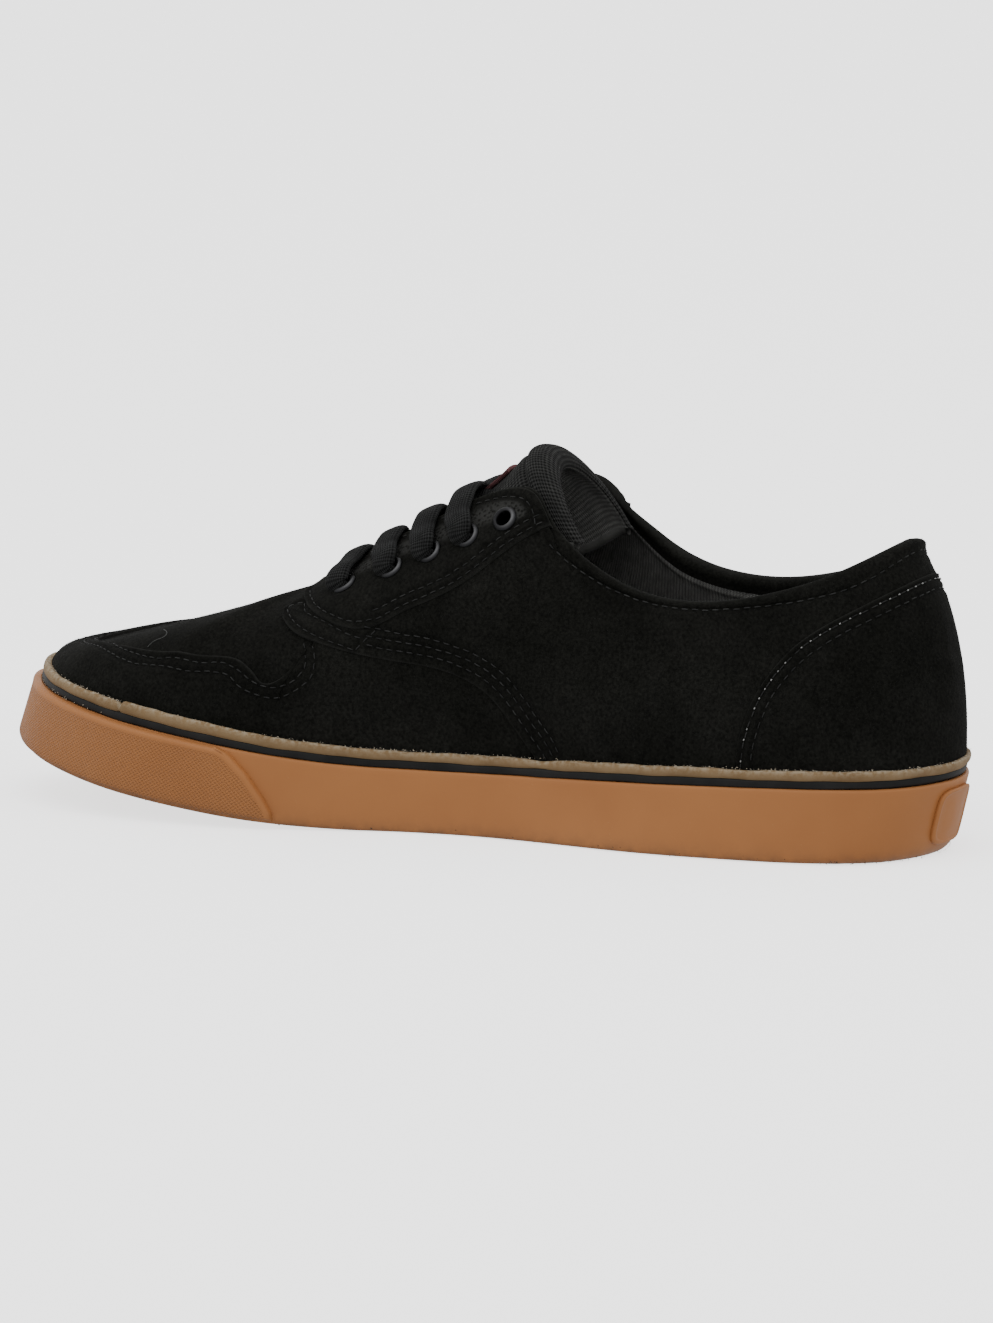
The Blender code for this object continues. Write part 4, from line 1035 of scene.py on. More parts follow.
def capsule(sides=6):
    """Unit stitch along X: its points, and faces between its rings."""
    rings = ((-0.5, 0.25, -1.2), (-0.42, 0.85, -0.3), (-0.2, 1.0, 0.25), (0.2, 1.0, 0.25), (0.42, 0.85, -0.3),
             (0.5, 0.25, -1.2))
    points = [(x, radius * math.cos(2 * math.pi * k / sides), radius * math.sin(2 * math.pi * k / sides) + up)
              for x, radius, up in rings for k in range(sides)]
    faces = grid_faces(len(rings), sides, close_columns=True).tolist()
    faces += [list(range(sides))[::-1], list(range((len(rings) - 1) * sides, len(rings) * sides))]
    return np.array(points), faces


def make_stitches(tree):
    """All the stitches, as one mesh; the counter's upper row also gets small bright beads at its stitch ends, a
    painted highlight.
    """
    template, shape = capsule()
    rng = np.random.default_rng(5)
    points, faces, slots = [], [], []
    for name, line in ROWS:
        for path in (line, other_side(line)):
            cloud = shell_point(path[:, 0], path[:, 1])
            run = np.r_[0, np.cumsum(np.linalg.norm(np.diff(cloud, axis=0), axis=1))]
            count = int(run[-1] / STITCH_PITCH)
            for number in range(count):
                middle = (number + 0.5) * STITCH_PITCH
                ends = []
                for at in (middle - STITCH_LENGTH / 2, middle + STITCH_LENGTH / 2):
                    ends.append(seat(tree, np.interp(at, run, path[:, 0]), np.interp(at, run, path[:, 1])))
                (first, out), (second, _) = ends
                way = second - first
                length = way.length
                way.normalize()
                side = out.cross(way).normalized()
                up = way.cross(side)
                jitter = rng.normal(0, 0.07 * MM, 2)
                centre = (first + second) / 2 + side * jitter[0] + up * (THREAD * 0.35)
                turn = np.array([way * (length + 0.2 * MM), side * THREAD, up * THREAD])
                offset = len(points) * len(template)
                points.append(template @ turn + np.array(centre))
                faces += [[i + offset for i in face] for face in shape]
                slots += [0] * len(shape)
                # painted highlight: small bright beads at the stitch ends of the counter's upper row
                if name == "counter_near" and rng.random() < 0.85:
                    turn = np.array([way * 0.62 * MM, side * PAINTED_GLINT, up * PAINTED_GLINT])
                    offset = len(points) * len(template)
                    points.append(template @ turn + np.array(second + way * 0.5 * MM + up * 0.30 * MM))
                    faces += [[i + offset for i in face] for face in shape]
                    slots += [1] * len(shape)
    made = make_object("stitches", np.vstack(points), faces, [FINISH["thread"], FINISH["glint"]], slots)
    return made


# Eyelets
def lathe(profile, sides=40):
    """Closed ring of points and faces turned round Z from a closed profile."""
    turns = np.linspace(0, 2 * math.pi, sides, endpoint=False)
    points = np.array([[(r * math.cos(t), r * math.sin(t), z) for r, z in profile] for t in turns])
    faces = grid_faces(sides, len(profile), close_rows=True, close_columns=True)
    return points.reshape(-1, 3), faces


def eyelet_place(tree, side, number):
    """Seat and turn of an eyelet; side is 1 on the inner side."""
    rib, climb = EYELETS[number]
    point, out = seat(tree, rib if side > 0 else 2 - rib, climb)
    return Matrix.Translation(point) @ out.to_track_quat("Z", "Y").to_matrix().to_4x4()


def make_eyelets(places):
    """Turned rings with rolled lips, down into their holes."""
    hole = EYELET_HOLE / 2
    rim = EYELET_DIAMETER / 2
    profile = [(hole, -EYELET_DEPTH), (hole, -0.2 * MM), (hole + 0.10 * MM, 0.45 * MM),
               (hole + 0.35 * MM, 0.82 * MM), (hole + 0.75 * MM, 0.92 * MM), (rim - 0.55 * MM, 0.66 * MM),
               (rim - 0.2 * MM, 0.40 * MM), (rim, 0.10 * MM), (rim - 0.05 * MM, -0.12 * MM),
               (hole + 0.5 * MM, -0.12 * MM), (hole + 0.45 * MM, -EYELET_DEPTH)]
    points, faces = lathe(profile)
    # painted highlight: a bright crescent on one side of each rolled lip's crown
    wear_and_highlight = [math.exp(-((z - 0.85 * MM) / (0.22 * MM)) ** 2) * (0.5 + 0.5 * x / math.hypot(x, y)) ** 3
            for x, y, z in points]
    for (side, number), frame_at in places.items():
        where = "medial" if side > 0 else "lateral"
        turned = [frame_at @ Vector(p) for p in points]
        ring = make_object(f"ring_{where}_{number + 1}", turned, faces.tolist(), [FINISH["metal"]],
                           None, {"wear_and_highlight": wear_and_highlight})
        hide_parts(f"eyelet_{where}_{number + 1}")


def pierce(thing, places, radius=PIERCED):
    """Open the holes of the eyelets, whose edges lie under the rings."""
    builder = bmesh.new()
    builder.from_mesh(thing.data)
    gone = []
    for face in builder.faces:
        centre = face.calc_center_median()
        for frame_at in places.values():
            local = centre - frame_at.translation
            if local.length < 8 * MM:
                axis = frame_at.col[2].xyz
                if (local - axis * local.dot(axis)).length < radius:
                    gone.append(face)
                    break
    bmesh.ops.delete(builder, geom=gone, context="FACES")
    builder.to_mesh(thing.data)
    builder.free()


# Tongue
tongue_rows = spline([-row[0] for row in TONGUE], [row[1:] for row in TONGUE])


def tongue_point(along, turn, under):
    """Point of the tongue: share of the sole's length, angle round it and depth under its face."""
    along, turn = np.broadcast_arrays(np.asarray(along, float), np.asarray(turn, float))
    row = tongue_rows(-along)
    height, half_width, depth, lean = (row[..., k] for k in range(4))
    reach = half_width * COLLAR_WIDTH / 2
    drop = depth * COLLAR_WIDTH / 2
    fall = drop - (drop - under) * np.cos(turn)
    lean = np.radians(lean)
    middle = CREST_SIDE * smooth((along - 0.38) / 0.28)
    return np.stack([along * SOLE_LENGTH - SOLE_LENGTH / 2 - np.sin(lean) * fall,
                     middle + (reach - under) * np.sin(turn),
                     height * INSTEP_HEIGHT - np.cos(lean) * fall], -1)


def make_tongue():
    """Padded tongue: mesh outside, ribbed cloth inside, rolled over at its top."""
    alongs = np.r_[np.linspace(TONGUE[0][0], 0.53, 50, endpoint=False), np.linspace(0.53, TONGUE[-1][0], 120)]
    turns = np.linspace(-TONGUE_TURN, TONGUE_TURN, 76)
    along_grid, turn_grid = np.meshgrid(alongs, turns, indexing="ij")
    run = (TONGUE[0][0] - along_grid) * SOLE_LENGTH * 1.25
    from_top = run[-1, 0] - run
    from_side = (TONGUE_TURN - np.abs(turn_grid)) * 22 * MM
    edge_gap = np.minimum(from_top, from_side)
    channel = 0.9 * MM * np.exp(-((edge_gap - 7.5 * MM) / (1.0 * MM)) ** 2)
    puff = 0.6 * MM * np.sin(np.clip(edge_gap / (7.5 * MM), 0, 1) * math.pi)
    outer_under = 0.5 * MM + channel - puff * 0.6
    inner_under = TONGUE_THICKNESS - 0.3 * MM + 4.2 * MM * np.cos(turn_grid) ** 2 * smooth(run / (30 * MM))
    outer = tongue_point(along_grid, turn_grid, outer_under)
    inner = tongue_point(along_grid, turn_grid, inner_under)
    lip = []
    rise = unit(outer[-1] - outer[-3])
    half = (outer[-1] - inner[-1]) / 2
    middle = (outer[-1] + inner[-1]) / 2
    for angle in np.linspace(0, math.pi, 12)[1:-1]:
        lip.append(middle + half * math.cos(angle) + rise * (TONGUE_THICKNESS * 0.5 * math.sin(angle)))
    grid = np.concatenate([outer, np.array(lip), inner[::-1]], axis=0)
    rows, columns = grid.shape[:2]
    faces = grid_faces(rows, columns).tolist()
    start = rows * columns
    side_points, side_faces = [], []
    for column in (0, columns - 1):
        first = outer[:, column]
        last = inner[:, column]
        way = np.array((0.35, 0, 0.94)) * -1
        arc = [(first + last) / 2 + (first - last) / 2 * math.cos(angle)
               + way * (TONGUE_THICKNESS * 0.5 * math.sin(angle)) for angle in np.linspace(0, math.pi, 7)]
        arc = np.array(arc)
        flip = column == 0
        side_faces += grid_faces(*arc.shape[:2], offset=start + len(side_points), flip=flip).tolist()
        side_points += arc.reshape(-1, 3).tolist()
    slot = np.repeat((np.arange(rows - 1) >= len(alongs) + 8).astype(int), columns - 1)
    slot = np.r_[slot, np.ones(len(side_faces), int)]
    lip_run = run[-1] + np.linspace(0.7, 7, 10)[:, None] * MM
    run_on = np.concatenate([run, lip_run, 2 * run[-1] + 7.7 * MM - run[::-1]])
    run_values = np.r_[run_on.ravel() / MM, np.zeros(len(side_points))]
    side_values = np.r_[np.tile(turn_grid[0] * 21, rows), np.zeros(len(side_points))]
    points = np.vstack([grid.reshape(-1, 3), np.array(side_points)])
    tongue = make_object("padded_tongue", points, faces + side_faces, [FINISH["mesh"], FINISH["lining"]],
                         slot, {"run": run_values, "side": side_values})
    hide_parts("tongue")
    along, turn = np.meshgrid(np.linspace(0.542, 0.466, 24), np.linspace(-0.62, 0.26, 24), indexing="ij")
    label = sheet_object("tongue_label", tongue_point(along, turn, -0.9 * MM), tongue_point(along, turn, 0.3 * MM),
                         FINISH["label"], {"run": along * 300, "side": turn * 21})


# Laces
def lace_section(half_width, half_thickness, count=22):
    turns = np.linspace(0, 2 * math.pi, count, endpoint=False)
    side = np.sign(np.cos(turns)) * np.abs(np.cos(turns)) ** 0.72 * half_width
    up = np.sign(np.sin(turns)) * np.abs(np.sin(turns)) ** 0.85 * half_thickness
    return side, up


def lace_mesh(name, path, widths, node, both_ends):
    """Puffy flat band swept along a path of points, fuller over its eyelet or eyelets."""
    path = np.array(path)
    knots = np.r_[0, np.cumsum(np.linalg.norm(np.diff(path, axis=0), axis=1))]
    count = int(knots[-1] / (0.45 * MM))
    at = np.linspace(0, knots[-1], count)
    points = spline(knots, path)(at)
    width = np.interp(at, knots, widths) / 2
    way = unit(np.gradient(points, axis=0))
    across = np.array((1.0, 0.0, -0.43)) / 1.0885
    across = unit(across - way * (way @ across)[:, None])
    out = np.cross(way, across)
    out = -out if out[len(out) // 2][2] < 0 else out
    for _ in range(6):
        out[1:-1] = unit(out[:-2] + 2 * out[1:-1] + out[2:])
    across = unit(np.cross(out, way))
    out = np.cross(way, across)
    rng = np.random.default_rng(len(name) - 6)
    wobble = np.interp(at, np.linspace(0, at[-1], 9), rng.normal(0, 0.22 * MM, 9))
    swell = np.exp(-((at - knots[2]) / (1.8 * MM)) ** 2)
    if both_ends:
        swell = swell + np.exp(-((at - knots[-3]) / (1.8 * MM)) ** 2)
    thick = LACE_THICKNESS / 2 * (1 + 0.45 * swell)
    sections = []
    for i in range(count):
        side, up = lace_section(width[i] + wobble[i] * 0.6, thick[i])
        sections.append(points[i] + across[i] * side[:, None] + out[i] * up[:, None])
    sections = np.array(sections)
    rows, columns = sections.shape[:2]
    faces = grid_faces(rows, columns, close_columns=True).tolist()
    faces += [list(range(columns))[::-1], list(range((rows - 1) * columns, rows * columns))]
    side = np.tile(lace_section(3.8, 1.2)[0], rows)
    run = np.repeat(at / MM, columns)
    lace = make_object(name, sections.reshape(-1, 3), faces, [FINISH["lace"]], None,
                       {"run": run, "side": side})
    if node:
        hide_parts(node)


def over_edge(tree, side, rib, climb, lift):
    """Point at a lift over the leather beside the throat."""
    station = rib if side > 0 else 2 - rib
    point, out = seat(tree, station, climb)
    return np.array(point + out * lift)


def make_laces(tree, places):
    """A bar over the lowest eyelets and three crossings; the inner side's bands lie on top."""
    full = LACE_WIDTH

    def inside(side, number, height, forward=0.0, up=0.0):
        """Point at a height over an eyelet's hole, moved to the toe and up the leather."""
        point = np.array(places[side, number] @ Vector((0, 0, height)))
        rib, climb = EYELETS[number]
        rising = unit(shell_frame(rib if side > 0 else 2 - rib, climb)[1])
        return point + np.array((forward, 0, 0)) + rising * up

    def crown(x, lift):
        along = (x + SOLE_LENGTH / 2) / SOLE_LENGTH
        return tongue_point(along, 0.0, 0.0) + np.array((0.45, 0, 0.89)) * lift

    def out_of(side, number):
        """Points and widths of a band that comes up out of an eyelet and bulges over its ring."""
        steps = ((-5.5, 0.0, 0.0, 4.2), (-1.2, 0.3, -0.6, 4.8), (0.8, 1.1, -0.9, 7.0), (1.8, 2.2, 1.5, 8.3))
        points = [inside(side, number, height * MM, forward * MM, up * MM) for height, forward, up, _ in steps]
        return points, [width * MM for *_, width in steps]

    def beneath(side, rib, climb, depth):
        """Point under the facing."""
        station = rib if side > 0 else 2 - rib
        return shell_point(station, climb) - shell_frame(station, climb)[2] * (UPPER_WALL + rise + depth)

    rise = LACE_THICKNESS / 2
    # name, side, eyelet, eyelet at the far end, how much the crest is lowered, solid it stands for
    for name, side, number, finish_at, lower, node in (
            ("bar", 1, 0, 0, 3.2, "lace_bar"),
            ("cross_1a", 1, 1, 0, 2.6, "lace_crossing_1"), ("cross_1b", -1, 1, 0, 0, None),
            ("cross_2a", 1, 2, 1, 2.2, "lace_crossing_2"), ("cross_2b", -1, 2, 1, 0, None),
            ("cross_3a", 1, 3, 2, 4.0, "lace_crossing_3"), ("cross_3b", -1, 3, 2, 0, None)):
        start, end = EYELETS[number][0], EYELETS[finish_at][0]
        same = number == finish_at
        near = start + (end - start) * 0.52 + (0.014 if same else 0)
        far = end + (start - end) * 0.25 + (0.020 if same else 0)
        climb = EYELETS[number][1]
        beside_throat = climb + (0.97 - climb) * 0.66
        points, widths = out_of(side, number)
        points.append(over_edge(tree, side, start + (near - start) * 0.95, beside_throat, rise + 0.45 * MM))
        points.append(over_edge(tree, side, near, 0.965, rise + 0.25 * MM))
        if same:
            other = over_edge(tree, -side, far, 0.965, rise + 0.35 * MM)
            middle = (points[-1] + other) / 2
            highest = max(middle[2], crown(middle[0], rise + 0.6 * MM)[2])
            middle[2] = max(highest - lower * MM, crown(middle[0], rise * 0.4)[2])
            ends, end_widths = out_of(-side, number)
            points += [middle, other, over_edge(tree, -side, end + (far - end) * 0.45, beside_throat,
                                                rise + 0.45 * MM)] + ends[::-1]
            widths += [full] * 5 + end_widths[::-1]
        else:
            beyond = over_edge(tree, -side, far, 0.955, 0.0)
            middle_x = (points[-1][0] + beyond[0]) / 2
            middle = crown(middle_x, rise + 0.2 * MM + (LACE_THICKNESS * 0.85 if side > 0 else 0))
            level = (points[-1][2] + beyond[2]) / 2 - (2.4 * MM if side < 0 else 0)
            middle[2] = max(max(middle[2], level) - lower * MM, crown(middle_x, rise * 0.4)[2])
            points += [middle, beneath(-side, far, 0.965, 0.6 * MM), beneath(-side, end, 0.86, 0.5 * MM)]
            widths += [full] * 5
        lace_mesh(f"woven_lace_{name}", points, widths, node, same)


# Sole
def wall_ring(name, profile_at, finish, values_at, count=760):
    """Ring round the sidewall; profile_at gives its section's insets and heights at a share."""
    shares = np.arange(count) / count
    profiles = np.array([profile_at(u) for u in shares])
    grid_u = np.repeat(shares[:, None], profiles.shape[1], axis=1)
    points = wall_point(grid_u, profiles[..., 1], profiles[..., 0])
    faces = grid_faces(*points.shape[:2], close_rows=True, close_columns=True)
    return make_object(name, points.reshape(-1, 3), faces.tolist(), [finish], None, values_at(grid_u, profiles))


def tip_drop(u):
    """How much lower the strips run round the tip of the toe."""
    return TIP_DROP * np.exp(-((np.asarray(u) - TOE_SHARE - 0.025) / 0.055) ** 2)


def strip_top(u):
    """Height where the strips end at a share of the way round."""
    return float(sidewall_height(np.array(u)) - tip_drop(u))


def ripple(u, seed, cycles, size):
    """Small uneven wave round the sole."""
    rng = np.random.default_rng(seed)
    total = 0.0
    for cycle in cycles:
        total += math.sin(2 * math.pi * (cycle * u + rng.random())) * size / len(cycles) ** 0.5
    return total


def heel_inset(u):
    """How far the two strips lie in from the sidewall's face round the heel."""
    return HEEL_INSET * math.exp(-((((u + 0.5) % 1) - 0.5) / 0.07) ** 2)


def bump_at(u, places, width, size):
    """Sum of narrow swellings at some shares of the way round."""
    return sum(size * math.exp(-((((u - place + 0.5) % 1) - 0.5) / width) ** 2) for place in places)


LUMPS = [0.394 * float(TOE_SHARE), 0.212 * float(TOE_SHARE), 1 - 0.35 * (1 - float(TOE_SHARE))]
BUTT_JOINT = 0.781 * float(TOE_SHARE)


def make_sole():
    """Gum foxing, black stripe, khaki strip, toe bumper and badge; the outsole's solid stays."""
    stripe_low = STRIPE_HEIGHT + WELT_HEIGHT

    def foxing(u):
        top = strip_top(u) - stripe_low - 0.05 * MM
        near_heel = 1 - float(smooth(along_sole(edge(u)[0]) / HEEL_ROUND_SHARE))
        round_low = 1.2 * MM + 3.0 * MM * near_heel
        section = [(FOXING_WALL, 0.4 * MM), (min(round_low, FOXING_WALL * 0.9), 0.3 * MM)]
        for turn in np.linspace(0.15, math.pi / 2, 7):
            inset = min(round_low * 0.8, FOXING_WALL * 0.8) * (1 - math.sin(turn))
            section.append((inset, 0.3 * MM + round_low * (1 - math.cos(turn))))
        low, high = 0.3 * MM + round_low, top - 1.0 * MM
        for share in np.linspace(0, 1, 16)[1:-1]:
            section.append((0.12 * MM * math.sin(math.pi * share), low + (high - low) * share))
        for turn in np.linspace(0, math.pi / 2, 6):
            section.append((0.9 * MM * (1 - math.cos(turn)), top - 0.9 * MM + 0.9 * MM * math.sin(turn)))
        section.append((FOXING_WALL, top))
        return section

    def foot_values(grid_u, profiles):
        return {"foot": np.exp(-profiles[..., 1] / (1.8 * MM)), "rim": 0 * grid_u}
    ring = wall_ring("gum_foxing", foxing, FINISH["gum"], foot_values)
    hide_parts("foxing")

    def stripe(u):
        low = strip_top(u) - stripe_low + ripple(u, 3, (7, 19, 41), 0.10 * MM)
        high = strip_top(u) - WELT_HEIGHT + ripple(u, 4, (9, 23, 47), 0.12 * MM)
        face = 0.25 * MM - bump_at(u, LUMPS, 0.006, 0.35 * MM) + heel_inset(u)
        return [(FOXING_WALL, low), (face + 0.5 * MM, low), (face + 0.1 * MM, low + 0.25 * MM),
                (face, low + 0.6 * MM), (face, (low + high) / 2), (face, high - 0.6 * MM), (face + 0.1 * MM, high - 0.25 * MM),
                (face + 0.5 * MM, high), (FOXING_WALL, high)]
    ring = wall_ring("black_stripe", stripe, FINISH["stripe"], lambda g, p: {"rim": 0 * g})
    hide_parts("pinstripe")

    def khaki(u):
        joint = float(smooth((BUTT_JOINT - u) / 0.0006)) * (u < BUTT_JOINT + 0.01) * 0.7 * MM
        seam = bump_at(u, [BUTT_JOINT], 0.0008, 0.9 * MM)
        low = strip_top(u) - WELT_HEIGHT - 0.05 * MM + ripple(u, 4, (9, 23, 47), 0.12 * MM)
        high = (strip_top(u) + STRIP_RISE + ripple(u, 6, (5, 17, 37, 83), 0.12 * MM)
                + joint * math.exp(-((u - BUTT_JOINT) / 0.05) ** 2) - seam
                + bump_at(u, LUMPS, 0.008, -0.5 * MM))
        face = -0.20 * MM + seam * 0.8 - ripple(u, 8, (11, 29), 0.10 * MM) + heel_inset(u)
        section = [(FOXING_WALL, low), (face + 0.6 * MM, low)]
        middle = (low + high) / 2
        for turn in np.linspace(-1.25, 1.25, 11):
            section.append((face + 0.9 * MM * (1 - math.cos(turn)),
                            middle + (high - low) / 2 * math.sin(turn)))
        section += [(face + 1.4 * MM, high), (FOXING_WALL - 0.2 * MM, high - 0.6 * MM)]
        return section

    def glue_values(grid_u, profiles):
        top = profiles[..., 1].max(axis=1, keepdims=True)
        return {"glue": np.exp(-(top - profiles[..., 1]) / (0.7 * MM))}
    ring = wall_ring("khaki_strip", khaki, FINISH["khaki"], glue_values, count=1400)
    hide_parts("welt_strip")
    make_bumper()
    make_badge()


BUMPER_REAR = ((0.617, 0.04), (0.619, 0.15), (0.628, 0.30), (0.647, 0.56), (0.668, 0.76), (0.683, 0.815))


def make_bumper():
    """Raised strip round the toe: smooth rim, fine lattice inside it."""
    rear_ribs, rear_shares = np.array(BUMPER_REAR).T
    level = np.linspace(0, 1, 36)
    share = (0.05 + 0.75 * level)[:, None]
    rear = np.interp(share, rear_shares, rear_ribs)
    first = rear * TOE_SHARE
    last = 1 - rear * (1 - TOE_SHARE)
    u = first + (last - first) * np.linspace(0, 1, 480)
    height = (sidewall_height(u) - tip_drop(u)) * share
    flat = wall_point(u, height, 0 * u)
    gap = distance_to(tree_of(np.concatenate([flat[0], flat[-1], flat[:, 0], flat[:, -1]])), flat)
    swell = BUMPER_THICKNESS * np.sqrt(np.clip(1 - (1 - np.clip(gap / (1.3 * MM), 0, 1)) ** 2, 0, 1))
    rimmed = tree_of(np.concatenate([flat[-1], flat[:, 0], flat[:, -1]]))
    rim = smooth((2.4 * MM - distance_to(rimmed, flat)) / (0.7 * MM))
    swell = swell + 0.12 * MM * rim * smooth((gap - 0.3 * MM) / (0.5 * MM))
    outer = wall_point(u, height, -swell)
    inner = wall_point(u, height, 0.3 * MM + 0 * u)
    run = u * EDGE_LENGTH / MM
    bumper = sheet_object("lattice_bumper", outer, inner, FINISH["bumper"],
                          {"run": run, "side": height / MM, "lattice": 1 - rim,
                           "foot": np.exp(-height / (1.6 * MM))})
    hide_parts("toe_bumper")


def make_badge():
    """Plain raised pad with a rim, on the middle of the heel."""
    middle = BADGE_RISE + BADGE_HEIGHT / 2
    rings = []
    steps = ((1.0, -0.3), (1.0, 0.75), (0.985, 1.05), (0.955, 1.25), (0.90, 1.25), (0.87, 1.0), (0.83, 0.9),
             (0.6, 0.92), (0.3, 0.95), (0.02, 0.95))
    for scale, lift in steps:
        ring = []
        for turn in np.linspace(0, 2 * math.pi, 96, endpoint=False):
            across = math.copysign(abs(math.cos(turn)) ** 0.45, math.cos(turn)) * scale
            up = math.copysign(abs(math.sin(turn)) ** 0.45, math.sin(turn)) * scale
            u = across * BADGE_WIDTH / 2 / EDGE_LENGTH
            ring.append(wall_point(np.array(u), middle + up * BADGE_HEIGHT / 2, np.array(-lift * MM)))
        rings.append(ring)
    rings = np.array(rings)
    rows, columns = rings.shape[:2]
    faces = grid_faces(rows, columns, close_columns=True, flip=True).tolist()
    faces += [list(range(columns)), list(range((rows - 1) * columns, rows * columns))[::-1]]
    badge = make_object("plain_badge", rings.reshape(-1, 3), faces, [FINISH["gum"]], None,
                        {"foot": np.zeros(rows * columns)})
    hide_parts("heel_badge")


def make_insole():
    """Footbed with a soft hollow, inside the shell."""
    ribs = np.linspace(0.004, 0.996, 120)
    inset = FOXING_WALL + GAP + UPPER_WALL + 0.6 * MM
    low = OUTSOLE_THICKNESS + GAP
    ends = [wall_point(ribs * TOE_SHARE, low, inset + 0 * ribs),
            wall_point(1 - ribs * (1 - TOE_SHARE), low, inset + 0 * ribs)]
    t = np.linspace(0, 1, 24)
    grid = ends[0][:, None] + (ends[1] - ends[0])[:, None] * t[None, :, None]
    edge_rise = 1.2 * MM * (np.abs(2 * t - 1) ** 4)[None, :]
    outer = grid.copy()
    outer[..., 2] += INSOLE_THICKNESS - 1.2 * MM + edge_rise
    sole = sheet_object("cloth_footbed", outer, grid, FINISH["insole"])
    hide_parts("insole")


# Small marks of wear
def blobs(name, seats, finish, seed):
    """Small uneven flecks; each seat is a point, the way out, and a size."""
    rng = np.random.default_rng(seed)
    ball = np.array([(math.cos(a) * math.cos(b), math.sin(a) * math.cos(b), math.sin(b))
                     for b in (-0.9, 0.1, 1.0) for a in np.linspace(0, 2 * math.pi, 5, endpoint=False)])
    shape = grid_faces(3, 5, close_columns=True).tolist() + [list(range(5))[::-1], list(range(10, 15))]
    points, faces = [], []
    for place, out, size in seats:
        out = Vector(out)
        turn = np.array(out.to_track_quat("Z", "Y").to_matrix())
        spin = rng.random() * 2 * math.pi
        across = np.array(Matrix.Rotation(spin, 3, "Z"))
        stretch = np.array((1 + rng.random() * 1.2, 0.6 + rng.random() * 0.4, 0.30))
        local = ball * stretch * size * (1 + 0.25 * rng.normal(size=(len(ball), 1)))
        offset = len(points) * len(ball)
        points.append(local @ across.T @ turn.T + np.array(place))
        faces += [[i + offset for i in face] for face in shape]
    made = make_object(name, np.vstack(points), faces, [finish])


def make_marks():
    """Glue along the khaki strip's top and dirt under the gum's lower edge."""
    rng = np.random.default_rng(21)
    glue, dirt, specks = [], [], []
    for _ in range(GLUE_FLECKS):
        u = rng.random()
        top = strip_top(u) + STRIP_RISE
        depth = rng.random()
        point = wall_point(np.array(u), top + (0.05 + 0.5 * depth ** 2 * rng.random()) * MM,
                           np.array(0.45 * MM + 1.3 * depth * MM))
        out = np.append(-inward(u), 0.8)
        glue.append((point, out, (0.06 + 0.15 * rng.random() ** 3) * MM))
    for _ in range(DIRT_FLECKS):
        u = rng.random()
        height = 0.35 * MM + abs(rng.normal(0, 0.5)) * MM
        inset = max(0.9 * MM - height * 0.7, 0.0)
        point = wall_point(np.array(u), height, np.array(inset))
        dirt.append((point, np.append(-inward(u), -0.3), (0.07 + 0.15 * rng.random() ** 2) * MM))
    for _ in range(STRIPE_SPECKS):
        u = TOE_SHARE * (0.80 + 0.19 * rng.random())
        point = wall_point(np.array(u), strip_top(u) - STRIPE_HEIGHT - WELT_HEIGHT + rng.random() * 0.9 * MM,
                           np.array(0.22 * MM))
        specks.append((point, np.append(-inward(u), 0.1), (0.10 + 0.14 * rng.random()) * MM))
    blobs("glue_flecks", glue, FINISH["glue"], 1)
    blobs("dirt_flecks", dirt, FINISH["dirt"], 2)
    blobs("stripe_specks", specks, FINISH["glue"], 3)


def make_fuzz(tree):
    """Short hairs of the nap, as thin closed slivers standing off the suede."""
    rng = np.random.default_rng(9)
    count = HAIRS
    stations = rng.random(count) * 2
    climbs = rng.random(count) ** 0.85
    points = shell_point(stations, climbs)
    outs = shell_frame(stations, climbs)[2]
    corners, faces = [], []
    for point, out in zip(points, outs):
        base = Vector(point)
        normal = Vector(out)
        hit = tree.ray_cast(base + normal * SEAT_REACH, -normal, SEAT_REACH + 2 * MM)[0]
        if hit is None:
            continue
        lean = Vector(rng.normal(0, 1, 3))
        lean = (lean - normal * lean.dot(normal)).normalized()
        side = normal.cross(lean)
        length = (0.35 + 0.5 * rng.random()) * MM
        tip = hit + normal * length * (0.35 + 0.5 * rng.random()) + lean * length
        thin = 0.022 * MM
        offset = len(corners)
        corners += [hit + side * thin, hit - side * thin, hit + normal * thin * 1.5, tip]
        faces += [[offset, offset + 1, offset + 2], [offset, offset + 3, offset + 1],
                  [offset + 1, offset + 3, offset + 2], [offset + 2, offset + 3, offset]]
    made = make_object("suede_hairs", corners, faces, [FINISH["fuzz"]])


# The loose thread's middle line, in millimetres
LOOSE_PATH = (
    (89.6678, 39.3104, 48.7832), (88.8239, 37.8901, 50.0605), (87.5366, 37.2763, 50.8895),
    (85.9810, 37.1829, 51.4915), (85.2469, 36.7667, 52.0240), (85.1111, 35.8535, 52.6038),
    (86.0845, 34.3930, 53.0548), (87.7935, 32.8138, 53.2656),
)


def make_loose_thread(rows=60, sides=6):
    """One thread that lies curled on the toe."""
    path = np.array(LOOSE_PATH) * MM
    points = spline(np.linspace(0, 1, len(path)), path)(np.linspace(0, 1, rows))
    way = unit(np.gradient(points, axis=0))
    side = unit(np.cross(way, (0.2, 0.9, 0.4)))
    lift = np.cross(way, side)
    turns = np.linspace(0, 2 * math.pi, sides, endpoint=False)[None, :, None]
    ring = points[:, None] + LOOSE_THREAD * (side[:, None] * np.cos(turns) + lift[:, None] * np.sin(turns))
    faces = grid_faces(rows, sides, close_columns=True).tolist()
    faces += [list(range(sides))[::-1], list(range((rows - 1) * sides, rows * sides))]
    hair = make_object("stray_thread", ring.reshape(-1, 3), faces, [FINISH["loose"]])


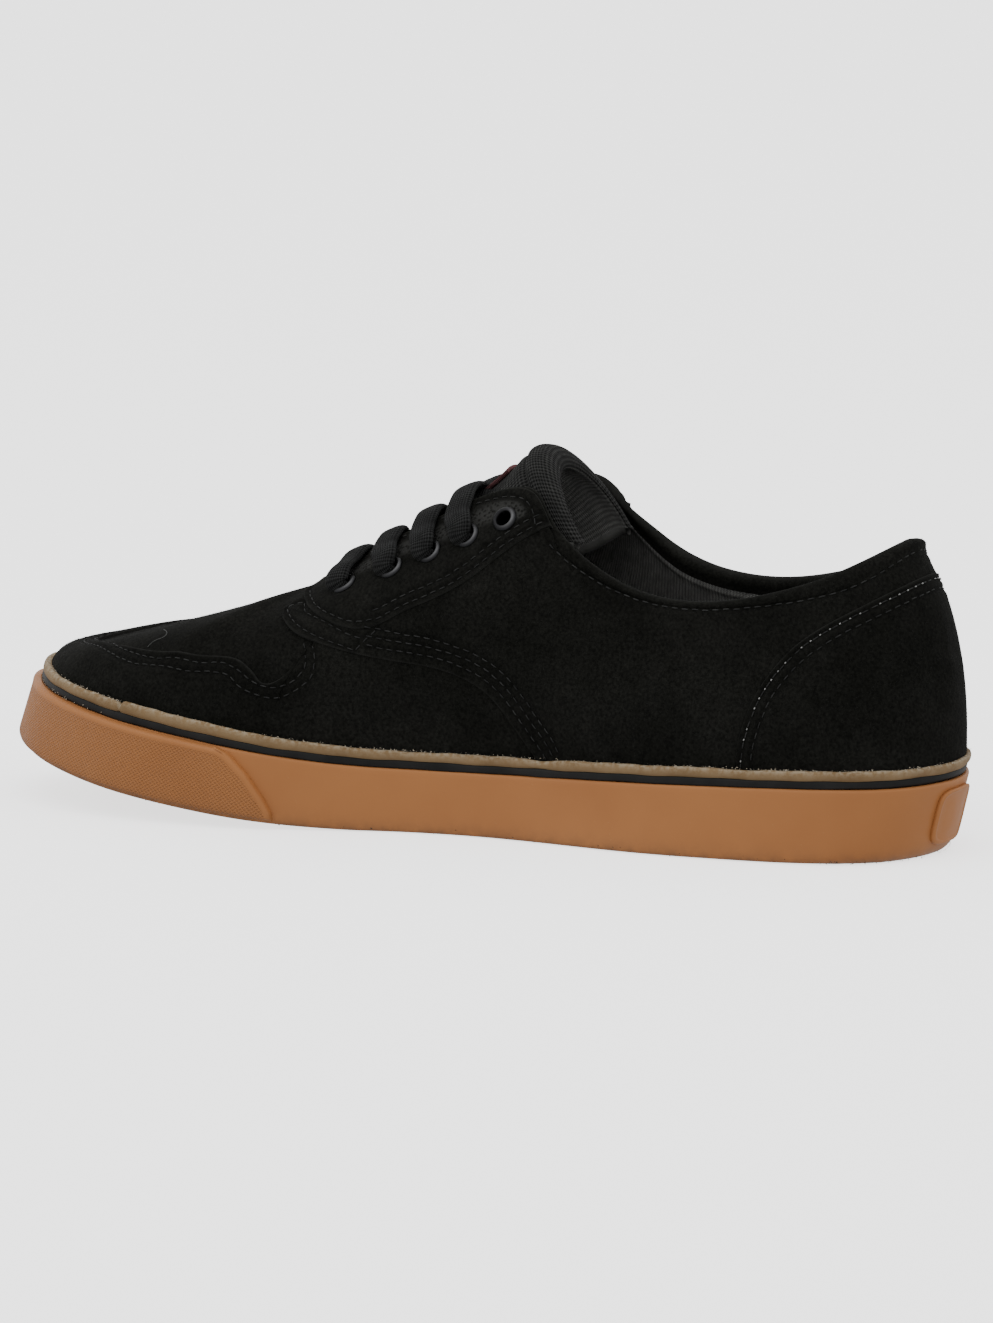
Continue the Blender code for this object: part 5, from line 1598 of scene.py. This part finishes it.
# Light and camera
def make_stage():
    """Pale grey floor without an edge in sight, and broad soft light.

    The camera sees the upper floor; the shoe is lit by the darker one just below it."""
    reach = 30.0
    for name, level, albedo, glow in (("floor", 0.0, 0.80, 1.80), ("floor_glow", -1.0 * MM, 0.16, 0.61)):
        grey = Finish(f"pale_{name}", (albedo, albedo, albedo), 0.95, specular=0.0)
        grey.shader.inputs["Emission Color"].default_value = (1.0, 1.0, 1.0, 1)
        grey.shader.inputs["Emission Strength"].default_value = glow
        mesh = bpy.data.meshes.new(name)
        mesh.from_pydata([(-reach, -reach, level), (reach, -reach, level), (reach, reach, level),
                          (-reach, reach, level)], [], [(0, 1, 2, 3)])
        mesh.materials.append(grey.material)
        floor = bpy.data.objects.new(name, mesh)
        bpy.context.scene.collection.objects.link(floor)
        seen = name == "floor"
        floor.visible_camera = seen
        floor.visible_diffuse = not seen
        floor.visible_glossy = not seen
        floor.visible_transmission = not seen
    world = bpy.data.worlds.new("pale_room")
    world.use_nodes = True
    world.node_tree.nodes["Background"].inputs["Color"].default_value = (1.0, 1.0, 1.0, 1)
    world.node_tree.nodes["Background"].inputs["Strength"].default_value = 1.05
    bpy.context.scene.world = world
    for name, place, size, power in (("overhead", (0.1, 0.5, 1.6), 1.6, 8),
                                     ("fill", (0.9, 1.2, 0.7), 1.0, 1.5)):
        lamp = bpy.data.lights.new(name, "AREA")
        lamp.size = size
        lamp.energy = power
        thing = bpy.data.objects.new(name, lamp)
        thing.location = place
        thing.rotation_euler = (Vector((0, 0, 0.04)) - Vector(place)).to_track_quat("-Z", "Y").to_euler()
        bpy.context.scene.collection.objects.link(thing)


PIXEL = 0.2915 * MM
AZIMUTH = math.radians(205.45)
ELEVATION = math.radians(8.5)
DISTANCE = 1.7


def make_camera():
    """Camera fitted to the photo, whose pixel (484, 814.2) sees the origin."""
    back = Vector((math.sin(AZIMUTH) * math.cos(ELEVATION), -math.cos(AZIMUTH) * math.cos(ELEVATION),
                   math.sin(ELEVATION)))
    right = Vector((0, 0, 1)).cross(back).normalized()
    up = back.cross(right)
    look = -right * (484 - 496.5) * PIXEL + up * (814.2 - 661.5) * PIXEL
    lens = bpy.data.cameras.new("camera")
    lens.sensor_fit = "VERTICAL"
    lens.sensor_height = 36
    lens.lens = DISTANCE / PIXEL * 36 / 1323
    lens.clip_start = 0.05
    lens.clip_end = 200
    camera = bpy.data.objects.new("camera", lens)
    camera.matrix_world = (Matrix.Translation(look + back * DISTANCE)
                           @ Matrix((right, up, back)).transposed().to_4x4())
    bpy.context.scene.collection.objects.link(camera)
    bpy.context.scene.camera = camera


def main():
    """The whole shoe, its stage and its camera."""
    shell = make_shell()
    panels = make_panels()
    tree = top_tree([shell] + panels)
    places = {(side, number): eyelet_place(tree, side, number) for side in (1, -1)
              for number in range(len(EYELETS))}
    make_stitches(tree)
    make_eyelets(places)
    for thing in [shell] + [p for p in panels if p.name.startswith("suede_facing")]:
        pierce(thing, places)
    make_tongue()
    make_laces(tree, places)
    make_sole()
    make_insole()
    make_marks()
    make_loose_thread()
    make_fuzz(tree)
    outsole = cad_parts["outsole"]
    outsole.data.materials.clear()
    outsole.data.materials.append(FINISH["sole"])
    make_stage()
    make_camera()


main()
